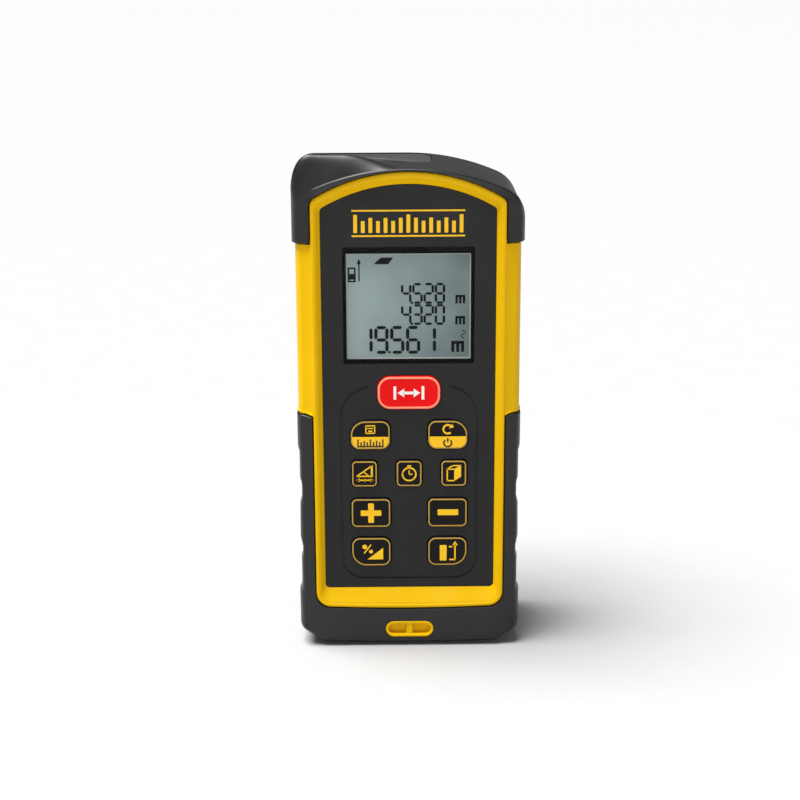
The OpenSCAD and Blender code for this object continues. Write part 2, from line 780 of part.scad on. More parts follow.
module lens_ring() {
    color([0.15, 0.15, 0.16]) difference() {
        rod_z(receiver_pos[0], receiver_pos[1], lens_r, chassis_z1 - ring_h, chassis_z1);
        rod_z(receiver_pos[0], receiver_pos[1], lens_r - ring_w,
            chassis_z1 - ring_h - overcut, chassis_z1 + overcut);
    }
}

sensor_r = 2.6;
sensor_board_z = chassis_z0 - 1.4;
sensor_h = 3;
sensor_board_w = 15;
sensor_board_t = 1;
module receiver_sensor() {
    color([0.82, 0.8, 0.7]) rod_z(receiver_pos[0], receiver_pos[1], sensor_r,
        sensor_board_z + sensor_board_t, sensor_board_z + sensor_board_t + sensor_h);
}

// It stops short of the laser barrel, so it lies off the receiver's axis.
module receiver_board() {
    color([0.05, 0.35, 0.18]) translate([receiver_pos[0] - 7, optics_y - sensor_board_w / 2, sensor_board_z])
        cube([sensor_board_w, sensor_board_w, sensor_board_t]);
}

film_t = 0.3;
film_w = 6;
film_end_y = optics_y + 4;
module optics_ribbon() {
    color([0.85, 0.55, 0.15])
        translate([receiver_pos[0] - film_w / 2, y_board_back, sensor_board_z - film_t])
            cube([film_w, film_end_y - y_board_back, film_t]);
}

module exit_window() {
    color([0.5, 0.2, 0.2, 0.5]) translate([0, 0, window_top - window_t]) linear_extrude(window_t)
        exit_outline(-window_play);
}

module window_gasket() {
    gasket_z = chassis_z1 + 0.1;
    color([0.1, 0.1, 0.1]) translate([0, 0, gasket_z]) linear_extrude(window_top - window_t - gasket_z)
        difference() {
            exit_outline(-0.1);
            translate([laser_pos[0], laser_pos[1]]) circle(r = bore_r);
            translate([receiver_pos[0], receiver_pos[1]]) circle(r = tube_r);
        }
}

module battery_tray() {
    bay_r = cell_d / 2 + 0.25;
    color([0.12, 0.12, 0.13]) difference() {
        translate([-tray_w / 2, tray_y0, tray_z0]) cube([tray_w, tray_y1 - tray_y0, tray_z1 - tray_z0]);
        for (s = [-1, 1]) {
            rod_z(s * cell_x, cell_y, bay_r, bay_z0, bay_z1);
            translate([s * cell_x - bay_r, cell_y, bay_z0])
                cube([2 * bay_r, tray_y1 - cell_y + overcut, bay_l]);
            end_plate(s * cell_x, bay_z1 - contact_t, contact_half + contact_gap);
        }
        end_plate(0, bay_z0, cell_x + contact_half + contact_gap);
    }
}

// The right cell stands with its nub up, on its spring. The left cell hangs below its own.
nub_l = 0.8;
nub_d = 3.8;
module cell(s) {
    up = s > 0;
    body = cell_l - nub_l;
    low = bay_z0 + contact_t + contact_gap + (up ? spring_l : 0);
    translate([s * cell_x, cell_y, low]) {
        color([0.15, 0.15, 0.17]) translate([0, 0, up ? 0 : nub_l]) cylinder(d = cell_d, h = body);
        color([0.8, 0.8, 0.8]) translate([0, 0, up ? body : 0]) cylinder(d = nub_d, h = nub_l);
    }
}

module left_cell() {
    cell(-1);
}

module right_cell() {
    cell(1);
}

// Conical spring, wide end down, swept along its own helix.
spring_turns = 3;
spring_wire = 0.5;
spring_steps = 16;
spring_foot_r = 3.6;
spring_head_r = 2.1;
function spring_point(i, h) = let (t = i / (spring_turns * spring_steps), a = 360 * spring_turns * t,
    r = spring_foot_r + (spring_head_r - spring_foot_r) * t)
    [r * cos(a), r * sin(a), spring_wire / 2 + t * (h - spring_wire)];
module coil(h) {
    last = spring_turns * spring_steps;
    sides = 6;
    w = spring_wire / 2;
    pts = [for (i = [0:last], k = [0:sides - 1])
        let (a = 360 * spring_turns * i / last, p = spring_point(i, h), b = 360 * k / sides)
        [p[0] + w * cos(b) * cos(a), p[1] + w * cos(b) * sin(a), p[2] + w * sin(b)]];
    rings = [for (i = [0:last - 1], k = [0:sides - 1]) let (n = (k + 1) % sides)
        [i * sides + k, i * sides + n, (i + 1) * sides + n, (i + 1) * sides + k]];
    ends = [[for (k = [sides - 1:-1:0]) k], [for (k = [0:sides - 1]) last * sides + k]];
    polyhedron(pts, concat(rings, ends), convexity = 8);
}

module cell_springs() {
    coil_h = spring_l - contact_gap;
    color([0.85, 0.85, 0.8]) {
        translate([cell_x, cell_y, bay_z0 + contact_t]) coil(coil_h);
        translate([-cell_x, cell_y, bay_z1 - contact_t]) mirror([0, 0, 1]) coil(coil_h);
    }
}

// A contact plate at the end of the bay, centred at x, with its low face at z.
contact_half = 4.2;
module end_plate(x, z, half) {
    translate([x - half, cell_y - contact_half, z]) cube([2 * half, 2 * contact_half, contact_t]);
}

// Separate plates at the upper end, one for each cell.
module cell_contacts() {
    color([0.85, 0.85, 0.8]) for (s = [-1, 1]) end_plate(s * cell_x, bay_z1 - contact_t, contact_half);
}

// One plate joins both cells at the lower end.
module contact_bridge() {
    color([0.85, 0.85, 0.8]) end_plate(0, bay_z0, cell_x + contact_half);
}

// The door's latch is a tab between two slits, with ridges for the thumb.
lip = 1.1;
thumb_w = 12;
latch_l = 8;
ridge_pitch = 1.3;
ridge_t = 0.6;
slit_w = 0.8;
module battery_door() {
    color(BLACK) difference() {
        union() {
            translate([-door_side / 2, y_back - door_t, door_z]) cube([door_side, door_t, door_l]);
            rod_x(door_hinge_y, door_z, door_hinge_r, -door_side / 2, door_side / 2);
            rod_x(door_hinge_y, door_z, trunnion_r, trunnion_play - trunnion_half,
                trunnion_half - trunnion_play);
            for (i = [0:4])
                translate([-thumb_w / 2, y_back - 0.2, door_top - latch_l + 0.5 + i * ridge_pitch])
                    cube([thumb_w, ridge_t, ridge_t]);
        }
        for (s = [-1, 1]) translate([s * (thumb_w / 2 + lip) - slit_w / 2, y_back - door_t - overcut,
            door_top - latch_l]) cube([slit_w, door_t + 3, latch_l + overcut]);
    }
}

module door_gasket() {
    ring = 0.7;
    color([0.3, 0.3, 0.3]) slab(tray_y1 + 0.1, y_back - door_t - 0.15) translate([0, (tray_z0 + tray_z1) / 2])
        difference() {
            square([tray_w - 0.1, tray_z1 - tray_z0 - 0.1], center = true);
            square([tray_w - 2 * ring, tray_z1 - tray_z0 - 2 * ring], center = true);
        }
}

// Three grooves near the bracket's tip give a fingernail something to pull.
nail_w = 12;
nail_d = 0.5;
nail_pitch = 2.2;
tip_r = 3;
module end_bracket() {
    plate_y = bracket_y + bracket_axis - bracket_t;
    color(BLACK) difference() {
        union() {
            rod_x(bracket_y, bracket_z, knuckle_r, -bracket_w / 2, bracket_w / 2);
            slab(plate_y, plate_y + bracket_t) translate([0, bracket_z + bracket_l / 2])
                polygon(key_pts(bracket_w, bracket_l, [tip_r, tip_r, tiny, tiny]));
        }
        rod_x(bracket_y, bracket_z, bracket_pin_r + running_fit, -bracket_w / 2 - 1, bracket_w / 2 + 1);
        for (i = [0:2]) translate([-nail_w / 2, plate_y + bracket_t - nail_d,
            bracket_z + bracket_l - tip_r - i * nail_pitch]) cube([nail_w, overcut, 1]);
    }
}

module bracket_pin() {
    color([0.7, 0.7, 0.72]) rod_x(bracket_y, bracket_z, bracket_pin_r,
        pin_spare - pin_half, pin_half - pin_spare);
}

// Leaf spring under the knuckle that holds the bracket at each quarter turn.
leaf_w = 8;
leaf_h = 3.2;
leaf_t = 0.25;
module detent_spring() {
    color([0.75, 0.75, 0.75]) translate([-leaf_w / 2, notch_y + 0.02, notch_h - leaf_h])
        cube([leaf_w, leaf_t, leaf_h]);
}

// A shallow cup with a bar across its mouth, for the cord's loop.
anchor_depth = 3.4;
eye_floor = 0.8;
eye_rim = 0.75;
eye_bar_w = 1.8;
eye_bar_t = 1.5;
module lanyard_anchor() {
    color(YELLOW) {
        difference() {
            slab(y_front + 0.1, y_front + anchor_depth) eye_outline();
            slab(y_front - overcut, y_front + anchor_depth - eye_floor) eye_outline(-eye_rim);
        }
        translate([-eye_bar_w / 2, y_front + 0.35, eye_z - eye_h / 2 + eye_rim / 2])
            cube([eye_bar_w, eye_bar_t, eye_h - eye_rim]);
    }
}

insert_floor = 0.8;
module tripod_insert() {
    color([0.8, 0.62, 0.25]) difference() {
        rod_y(0, tripod_z, insert_r, y_back - insert_l, y_back - 0.1);
        rod_y(0, tripod_z, tripod_r, y_back - insert_l + insert_floor, y_back + overcut);
    }
}

drive_r = 0.75;
drive_d = 0.9;
module case_screws() {
    color([0.6, 0.6, 0.62]) for (p = case_screw_at) difference() {
        union() {
            rod_y(p[0], p[1], case_screw_r, y_split - screw_grip, y_back - head_sunk - tiny);
            rod_y(p[0], p[1], case_head_r, y_back - head_sunk - case_head_h, y_back - head_sunk);
        }
        rod_y(p[0], p[1], drive_r, y_back - head_sunk - drive_d, y_back);
    }
}

board_head_r = 1.7;
board_head_h = 0.9;
module board_screws() {
    color([0.6, 0.6, 0.62]) for (p = board_screw_at) {
        rod_y(p[0], p[1], board_screw_r, y_board - board_grip, y_board_back + tiny);
        rod_y(p[0], p[1], board_head_r, y_board_back, y_board_back + board_head_h);
    }
}

plate_mark_w = 24;
plate_mark_h = 8;
plate_mark_z = tripod_z + insert_r + 3;
mark_d = 0.4;
module rating_plate() {
    color([0.7, 0.71, 0.72])
        translate([plate_gap - plate_mark_w / 2, y_back - mark_d, plate_mark_z + plate_gap])
            cube([plate_mark_w - 2 * plate_gap, mark_d - running_fit, plate_mark_h - 2 * plate_gap]);
}

// One key: cap through the plate, flange behind the case wall, plunger over its dome.
module key(i) {
    k = KEYS[i];
    translate([k[1], 0, k[2]]) {
        slab(y_plate - key_proud, y_flange + tiny) polygon(key_pts(k[3], k[4], k[5]));
        slab(y_flange, y_flange + flange_t) polygon(key_pts(k[3], k[4], k[5], flange_w));
        rod_y(0, 0, plunger_r, y_flange, y_plunger);
    }
}
module measure_key() { color([0.85, 0.08, 0.1]) key(0); }
module units_key() { color(BLACK) key(1); }
module clear_key() { color(BLACK) key(2); }
module triangle_key() { color(BLACK) key(3); }
module timer_key() { color(BLACK) key(4); }
module volume_key() { color(BLACK) key(5); }
module plus_key() { color(BLACK) key(6); }
module minus_key() { color(BLACK) key(7); }
module slope_key() { color(BLACK) key(8); }
module reference_key() { color(BLACK) key(9); }

front_housing();
rear_housing();
housing_seal();
upper_boot();
lower_boot();
face_plate();
display_window();
display_frame();
lcd_panel();
backlight();
key_mat();
dome_switches();
main_board();
processor();
buzzer();
tilt_sensor();
shield_can();
display_ribbon();
optics_chassis();
laser_barrel();
laser_diode();
collimator_lens();
receiver_lens();
lens_ring();
receiver_sensor();
receiver_board();
optics_ribbon();
exit_window();
window_gasket();
battery_tray();
left_cell();
right_cell();
cell_springs();
cell_contacts();
contact_bridge();
battery_door();
door_gasket();
end_bracket();
bracket_pin();
detent_spring();
lanyard_anchor();
tripod_insert();
case_screws();
board_screws();
optics_screws();
rating_plate();
measure_key();
units_key();
clear_key();
triangle_key();
timer_key();
volume_key();
plus_key();
minus_key();
slope_key();
reference_key();
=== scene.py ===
import logging
import math
from dataclasses import dataclass, field
from enum import Enum

import bmesh
import bpy
import numpy as np
from mathutils import Matrix, Vector


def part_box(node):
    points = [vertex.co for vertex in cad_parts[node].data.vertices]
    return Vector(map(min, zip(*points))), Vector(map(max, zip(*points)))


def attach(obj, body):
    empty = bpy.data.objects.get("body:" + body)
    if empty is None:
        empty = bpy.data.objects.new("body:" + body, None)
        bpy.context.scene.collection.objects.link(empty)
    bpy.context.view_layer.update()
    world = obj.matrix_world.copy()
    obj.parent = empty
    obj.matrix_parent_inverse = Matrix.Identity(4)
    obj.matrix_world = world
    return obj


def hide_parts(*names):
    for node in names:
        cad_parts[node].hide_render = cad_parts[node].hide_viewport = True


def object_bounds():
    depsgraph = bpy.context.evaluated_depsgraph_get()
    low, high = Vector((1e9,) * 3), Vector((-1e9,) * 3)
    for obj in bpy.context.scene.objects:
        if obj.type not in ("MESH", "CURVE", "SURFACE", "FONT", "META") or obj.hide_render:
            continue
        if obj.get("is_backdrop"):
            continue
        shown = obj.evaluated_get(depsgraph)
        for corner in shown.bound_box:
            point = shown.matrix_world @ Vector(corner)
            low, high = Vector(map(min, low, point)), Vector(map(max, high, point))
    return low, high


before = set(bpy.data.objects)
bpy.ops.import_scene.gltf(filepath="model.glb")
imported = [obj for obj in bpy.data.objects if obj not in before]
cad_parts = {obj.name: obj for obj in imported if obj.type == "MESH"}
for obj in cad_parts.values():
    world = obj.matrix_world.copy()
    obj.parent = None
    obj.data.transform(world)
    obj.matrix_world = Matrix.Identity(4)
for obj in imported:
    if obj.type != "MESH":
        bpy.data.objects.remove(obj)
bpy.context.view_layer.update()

# Looks of a laser distance meter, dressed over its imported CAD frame. Size fields are millimetres in
# the row frame: X is the width, +Z runs up to the optics end, and the keys face -Y.

LOG = logging.getLogger("meter")
MM = 0.001
# How finely the case's outline is sampled while its corners are eased, and over how many samples.
CORNER_SAMPLES, CORNER_WINDOW = 1600, 13
# Points along half the bottom of an outline, and round its foot corner.
BOTTOM_POINTS, FOOT_POINTS = 60, 30
# Noise lies mostly in this range.
NOISE_RANGE = (0.3, 0.7)
# Places of the share and of both colours among a Mix node's inputs, and of the colour among its outputs.
COLOUR_MIX_INPUTS, COLOUR_MIX_OUTPUT = (0, 6, 7), 2
Array = np.ndarray
Socket = bpy.types.NodeSocket
Pair = tuple[float, float]
Body = tuple[Array, Array, Array, Array]


# ---------------------------------------------------------------- finishes
class Kit:
    """Short hands for wiring one material's nodes. Texture places are in millimetres."""

    def __init__(self, name: str) -> None:
        """Starts an empty material with its output and its millimetre places.

        Args:
            name: the material's name.
        """
        self.material = bpy.data.materials.new(name)
        self.material.use_nodes = True
        self.tree = self.material.node_tree
        self.tree.nodes.clear()
        self.output = self.tree.nodes.new("ShaderNodeOutputMaterial")
        places = self.tree.nodes.new("ShaderNodeTexCoord")
        scale = self.tree.nodes.new("ShaderNodeMapping")
        scale.inputs["Scale"].default_value = (1 / MM,) * 3
        self.tree.links.new(places.outputs["Object"], scale.inputs["Vector"])
        self.places = scale.outputs["Vector"]

    def node(self, kind: str, **values: object) -> bpy.types.Node:
        """Adds a node and sets or links its inputs.

        Args:
            kind: the node's type name after "ShaderNode".
            values: input names with _ for a space, each a value or a socket to link.

        Returns:
            The new node.
        """
        made = self.tree.nodes.new("ShaderNode" + kind)
        for key, value in values.items():
            self.feed(made.inputs[key.replace("_", " ")], value)
        return made

    def feed(self, socket: Socket, value: object) -> None:
        """Gives an input its value.

        Args:
            socket: the input.
            value: a socket to link, or a plain value to set.
        """
        if isinstance(value, bpy.types.NodeSocket):
            self.tree.links.new(value, socket)
        else:
            socket.default_value = value

    def noise(self, size: float, detail: float = 2.0) -> Socket:
        """Fractal noise whose blotches are about size millimetres across."""
        return self.node("TexNoise", Vector=self.places, Scale=1 / size, Detail=detail).outputs["Fac"]

    def remap(self, value: Socket, source: Pair, target: Pair) -> Socket:
        """Stretches a value from one range to another.

        Args:
            value: the value.
            source: the range that it comes in.
            target: the range that it leaves in.

        Returns:
            The stretched value.
        """
        made = self.node("MapRange", Value=value, From_Min=source[0], From_Max=source[1], To_Min=target[0],
                         To_Max=target[1])
        return made.outputs["Result"]

    def spread(self, noise: Socket, low: float, high: float) -> Socket:
        """Stretches noise, which lies mostly in NOISE_RANGE, to run from low to high."""
        return self.remap(noise, NOISE_RANGE, (low, high))

    def math(self, operation: str, a: Socket | float, b: Socket | float) -> Socket:
        """One arithmetic step of two values.

        Args:
            operation: the Math node's operation.
            a: the first value.
            b: the second value.

        Returns:
            The result.
        """
        made = self.tree.nodes.new("ShaderNodeMath")
        made.operation = operation
        for socket, value in zip(made.inputs, (a, b)):
            self.feed(socket, value)
        return made.outputs[0]

    def mix(self, share: Socket | float, a: object, b: object) -> Socket:
        """Blends two colours.

        Args:
            share: 0 for the first colour, 1 for the second.
            a: the first colour.
            b: the second colour.

        Returns:
            The blend.
        """
        made = self.tree.nodes.new("ShaderNodeMix")
        made.data_type = "RGBA"
        for place, value in zip(COLOUR_MIX_INPUTS, (share, a, b)):
            self.feed(made.inputs[place], value)
        return made.outputs[COLOUR_MIX_OUTPUT]

    def bump(self, height: Socket, depth: float, under: Socket | None = None) -> Socket:
        """Turns a height into a bump.

        Args:
            height: the height, from 0 to 1.
            depth: what 1 stands for, in millimetres.
            under: a coarser bump that this one lies on.

        Returns:
            The bumped normal.
        """
        made = self.node("Bump", Height=height, Distance=depth * MM, Strength=1.0)
        if under is not None:
            self.tree.links.new(under, made.inputs["Normal"])
        return made.outputs["Normal"]

    def edges(self, low: float = 0.5, high: float = 0.62) -> Socket:
        """A value that is 0 on flat places and 1 on outward edges."""
        sharp = self.tree.nodes.new("ShaderNodeNewGeometry").outputs["Pointiness"]
        return self.remap(sharp, (low, high), (0.0, 1.0))

    def across(self, axis: str) -> Socket:
        """The place along one axis, X, Y or Z, in millimetres."""
        return self.node("SeparateXYZ", Vector=self.places).outputs[axis]

    def close(self, shader: Socket) -> bpy.types.Material:
        """Links the shader to the output and hands the material back."""
        self.tree.links.new(shader, self.output.inputs["Surface"])
        return self.material


def tone(red: float, green: float, blue: float) -> tuple[float, float, float, float]:
    """A display colour of 0 to 255 a channel as linear values."""
    share = [channel / 255 for channel in (red, green, blue)]
    return tuple(c / 12.92 if c < 0.04045 else ((c + 0.055) / 1.055) ** 2.4 for c in share) + (1.0,)


def shaded(colour: tuple[float, ...], factor: float) -> tuple[float, ...]:
    """The colour made lighter or darker by factor."""
    return tuple(min(1.0, channel * factor) for channel in colour[:3]) + (1.0,)


class Finish:
    """What every finish can do: become a node material."""

    def build(self, name: str) -> bpy.types.Material:
        """Makes the finish into a material.

        Args:
            name: the material's name.

        Returns:
            The material.
        """
        kit = Kit(name)
        return kit.close(self.shader(kit))

    def shader(self, kit: Kit) -> Socket:
        """Wires the finish into kit; each finish has its own."""
        raise NotImplementedError


@dataclass(frozen=True)
class Moulded(Finish):
    """Moulded plastic or rubber: spark-eroded grain, slow colour drift, smudges and rubbed edges."""

    colour: tuple[float, ...]
    roughness: float = 0.45
    grain: float = 0.35
    grain_depth: float = 0.012
    drift: float = 0.06
    wear: float = 0.15
    coat: float = 0.0
    specular: float = 0.5
    blotch: float = 14.0
    speck: float = 0.9
    speck_limit: float = 0.68
    speck_share: float = 0.25
    smudge: float = 9.0
    smudge_spread: float = 0.07
    coat_roughness: float = 0.12

    def shader(self, kit: Kit) -> Socket:
        """Wires the finish.

        Args:
            kit: the nodes of the material.

        Returns:
            The shader for the material's surface.
        """
        drift = kit.spread(kit.noise(self.blotch, 3.0), 0.0, 1.0)
        base = kit.mix(drift, shaded(self.colour, 1 - self.drift), shaded(self.colour, 1 + self.drift))
        speck = kit.math("GREATER_THAN", kit.noise(self.speck, 4.0), self.speck_limit)
        base = kit.mix(kit.math("MULTIPLY", speck, self.speck_share), base, shaded(self.colour, 1.35))
        rubbed = kit.math("MULTIPLY", kit.edges(), kit.spread(kit.noise(2.5), 0.2, 1.0))
        base = kit.mix(kit.math("MULTIPLY", rubbed, self.wear), base, shaded(self.colour, 1.9))
        smudge = kit.spread(kit.noise(self.smudge, 4.0), self.roughness - self.smudge_spread,
                            self.roughness + self.smudge_spread)
        low = kit.bump(kit.noise(self.grain * 6, 2.0), self.grain_depth * 1.5)
        fine = kit.bump(kit.noise(self.grain, 3.0), self.grain_depth, low)
        shader = kit.node("BsdfPrincipled", Base_Color=base, Roughness=smudge, Normal=fine)
        shader.inputs["Specular IOR Level"].default_value = self.specular
        shader.inputs["Coat Weight"].default_value = self.coat
        shader.inputs["Coat Roughness"].default_value = self.coat_roughness
        return shader.outputs["BSDF"]


@dataclass(frozen=True)
class Metal(Finish):
    """Turned, stamped or plated metal with fine lines along one axis and dull patches."""

    colour: tuple[float, ...]
    roughness: float = 0.28
    line: float = 0.12

    def shader(self, kit: Kit) -> Socket:
        """Wires the finish.

        Args:
            kit: the nodes of the material.

        Returns:
            The shader for the material's surface.
        """
        stretch = kit.node("Mapping", Vector=kit.places)
        stretch.inputs["Scale"].default_value = (0.15 / self.line, 1 / self.line, 1 / self.line)
        lines = kit.node("TexNoise", Vector=stretch.outputs["Vector"], Scale=1.0, Detail=3.0)
        dull = kit.spread(kit.noise(1.6, 3.0), 0.0, 1.0)
        base = kit.mix(dull, shaded(self.colour, 0.82), shaded(self.colour, 1.1))
        rough = kit.spread(lines.outputs["Fac"], self.roughness - 0.1, self.roughness + 0.12)
        normal = kit.bump(lines.outputs["Fac"], 0.006)
        shader = kit.node("BsdfPrincipled", Base_Color=base, Roughness=rough, Metallic=1.0, Normal=normal)
        return shader.outputs["BSDF"]


@dataclass(frozen=True)
class Clear(Finish):
    """Thin clear plastic or coated glass: see-through face on, a mirror at a slant, faintly marked."""

    tint: tuple[float, ...]
    shine: float = 1.0
    roughness: float = 0.04

    def shader(self, kit: Kit) -> Socket:
        """Wires the finish.

        Args:
            kit: the nodes of the material.

        Returns:
            The shader for the material's surface.
        """
        marks = kit.spread(kit.noise(3.0, 5.0), self.roughness * 0.5, self.roughness * 2)
        ripple = kit.bump(kit.noise(9.0, 1.0), 0.0015)
        through = kit.node("BsdfTransparent", Color=self.tint)
        mirror = kit.node("BsdfAnisotropic", Color=(1, 1, 1, 1), Roughness=marks, Normal=ripple)
        slant = kit.node("Fresnel", IOR=1.45, Normal=ripple).outputs["Fac"]
        blend = kit.node("MixShader", Fac=kit.math("MULTIPLY", slant, self.shine))
        kit.tree.links.new(through.outputs[0], blend.inputs[1])
        kit.tree.links.new(mirror.outputs[0], blend.inputs[2])
        return blend.outputs[0]


@dataclass(frozen=True)
class Crystal(Finish):
    """The grey-green face of a liquid crystal panel: painted shade that darkens it towards the right and the
    bottom, and a fine fabric.
    """

    light: tuple[float, ...]
    dark: tuple[float, ...]
    middle_z: float = 92.5
    painted_shade_x: float = 0.028
    painted_shade_z: float = -0.006
    cloud_share: float = 0.7

    def shader(self, kit: Kit) -> Socket:
        """Wires the finish.

        Args:
            kit: the nodes of the material.

        Returns:
            The shader for the material's surface.
        """
        # Painted shade: the panel's colour runs from light to dark towards the right and the bottom.
        painted_shade_right = kit.math("MULTIPLY", kit.across("X"), self.painted_shade_x)
        fall = kit.math("MULTIPLY", kit.math("SUBTRACT", kit.across("Z"), self.middle_z), self.painted_shade_z)
        cloud = kit.math("MULTIPLY", kit.noise(11.0, 1.0), self.cloud_share)
        share = kit.math("ADD", kit.math("ADD", painted_shade_right, fall), cloud)
        limit = kit.node("Clamp", Value=share).outputs[0]
        base = kit.mix(limit, self.light, self.dark)
        weave = kit.spread(kit.noise(0.25, 2.0), 0.3, 0.45)
        normal = kit.bump(kit.noise(0.2, 2.0), 0.003)
        shader = kit.node("BsdfPrincipled", Base_Color=base, Roughness=weave, Normal=normal)
        return shader.outputs["BSDF"]


@dataclass(frozen=True)
class Laminate(Finish):
    """Circuit board laminate: solder mask over copper tracks that show as faint ridges."""

    mask: tuple[float, ...]
    copper: tuple[float, ...]

    def shader(self, kit: Kit) -> Socket:
        """Wires the finish.

        Args:
            kit: the nodes of the material.

        Returns:
            The shader for the material's surface.
        """
        turned = kit.node("Mapping", Vector=kit.places)
        turned.inputs["Rotation"].default_value = (math.pi / 2, 0, 0)
        tracks = kit.node("TexBrick", Vector=turned.outputs["Vector"], Scale=0.35)
        tracks.inputs["Mortar Size"].default_value = 0.035
        share = kit.math("SUBTRACT", 1.0, tracks.outputs["Fac"])
        base = kit.mix(share, self.copper, self.mask)
        base = kit.mix(kit.math("MULTIPLY", kit.noise(5.0), 0.3), base, shaded(self.mask, 0.6))
        normal = kit.bump(tracks.outputs["Fac"], 0.03)
        rough = kit.spread(kit.noise(2.0), 0.22, 0.4)
        shader = kit.node("BsdfPrincipled", Base_Color=base, Roughness=rough, Normal=normal)
        return shader.outputs["BSDF"]


@dataclass(frozen=True)
class Jacket(Finish):
    """The printed sleeve of a dry cell: dark below, a light band above, with a lacquer coat."""

    body: tuple[float, ...]
    band: tuple[float, ...]
    band_z: float

    def shader(self, kit: Kit) -> Socket:
        """Wires the finish.

        Args:
            kit: the nodes of the material.

        Returns:
            The shader for the material's surface.
        """
        wave = kit.math("MULTIPLY", kit.noise(1.2), 0.05)
        above = kit.math("GREATER_THAN", kit.math("ADD", kit.across("Z"), wave), self.band_z)
        base = kit.mix(above, self.body, self.band)
        rough = kit.spread(kit.noise(3.0, 3.0), 0.2, 0.4)
        normal = kit.bump(kit.noise(0.5), 0.006)
        shader = kit.node("BsdfPrincipled", Base_Color=base, Roughness=rough, Normal=normal)
        shader.inputs["Coat Weight"].default_value = 0.4
        return shader.outputs["BSDF"]


class Look(Enum):
    """The finishes of the meter."""

    YELLOW = Moulded(tone(235, 185, 1), roughness=0.36, grain=0.45, grain_depth=0.006, drift=0.03, wear=0.05,
                     specular=0.09)
    RUBBER = Moulded(tone(22, 22, 23), roughness=0.4, grain=0.3, drift=0.08, wear=0.06, specular=0.42)
    PLATE = Moulded(tone(32, 32, 32), roughness=0.42, grain=0.25, grain_depth=0.006, drift=0.05, wear=0.05,
                    specular=0.2)
    PANE = Moulded(tone(24, 14, 16), roughness=0.16, grain=4.0, grain_depth=0.002, drift=0.05, wear=0.05,
                   coat=0.3)
    SEAL = Moulded(tone(26, 26, 27), roughness=0.62, grain=0.3, grain_depth=0.01)
    # The display's black mask. It is partly its own black and partly painted shade, made near-black to stand
    # for the shadow in the display's recess.
    FRAME = Moulded(tone(4, 4, 4), roughness=0.3, grain=0.4, grain_depth=0.003, wear=0.05, specular=0.04)
    KEY_BLACK = Moulded(tone(17, 13, 13), roughness=0.42, grain=0.3, grain_depth=0.005, wear=0.05,
                        specular=0.14)
    KEY_RED = Moulded(tone(238, 8, 10), roughness=0.4, grain_depth=0.005, drift=0.04, wear=0.1, specular=0.12)
    GOLD_PRINT = Moulded(tone(186, 150, 62), roughness=0.42, grain=0.2, grain_depth=0.004, drift=0.05,
                         wear=0.05, specular=0.2)
    ICON_PRINT = Moulded(tone(255, 196, 30), roughness=0.42, grain=0.2, grain_depth=0.004, drift=0.04,
                         wear=0.05, specular=0.2)
    SALMON_PRINT = Moulded(tone(246, 150, 118), roughness=0.42, grain=0.2, grain_depth=0.004)
    WHITE_PRINT = Moulded(tone(250, 244, 240), roughness=0.42, grain=0.2, grain_depth=0.004)
    DARK_PRINT = Moulded(tone(34, 24, 12), grain=0.2, grain_depth=0.004)
    SEGMENT = Moulded(tone(8, 14, 20), roughness=0.5, grain=0.2, grain_depth=0.002, drift=0.05, wear=0.05,
                      specular=0.1)
    LCD_EDGE = Moulded(tone(164, 164, 160), roughness=0.5, grain=0.2, grain_depth=0.003)
    CHASSIS = Moulded(tone(48, 49, 52), roughness=0.55, grain=0.4, grain_depth=0.01)
    SILICONE = Moulded(tone(120, 121, 124), roughness=0.6, grain_depth=0.008)
    CHIP = Moulded(tone(28, 28, 30), roughness=0.48, grain=0.15, grain_depth=0.006)
    FILM = Moulded(tone(196, 120, 36), roughness=0.3, grain=0.8, grain_depth=0.004, drift=0.08, wear=0.1,
                   coat=0.4)
    LABEL = Moulded(tone(186, 188, 190), roughness=0.35, grain=0.5, grain_depth=0.003, drift=0.03, wear=0.05,
                    coat=0.3)
    GUIDE = Moulded(tone(228, 232, 226), roughness=0.3, grain=0.6, grain_depth=0.003)
    STEEL = Metal(tone(168, 170, 174))
    CONTACT = Metal(tone(206, 202, 190), 0.22)
    BRASS = Metal(tone(206, 164, 84), 0.3)
    GLASS = Clear((0.97, 0.985, 0.98, 1.0), 0.1, 0.03)
    LENS = Clear((0.80, 0.72, 0.92, 1.0), 1.6, 0.02)
    # The display panel's light and dark ends, between which its painted shade runs.
    CRYSTAL = Crystal(tone(156, 169, 171), tone(92, 105, 107))
    BOARD = Laminate(tone(18, 78, 44), tone(46, 122, 66))
    CELL = Jacket(tone(30, 31, 34), tone(196, 150, 70), 66.0)


class Wardrobe:
    """Makes each finish once and hands it out."""

    def __init__(self) -> None:
        """Starts with nothing made."""
        self.made: dict[Look, bpy.types.Material] = {}

    def get(self, look: Look) -> bpy.types.Material:
        """Hands out a finish's material, made at its first use.

        Args:
            look: the finish.

        Returns:
            Its material.
        """
        if look not in self.made:
            self.made[look] = look.value.build(look.name.lower())
        return self.made[look]


WARDROBE = Wardrobe()


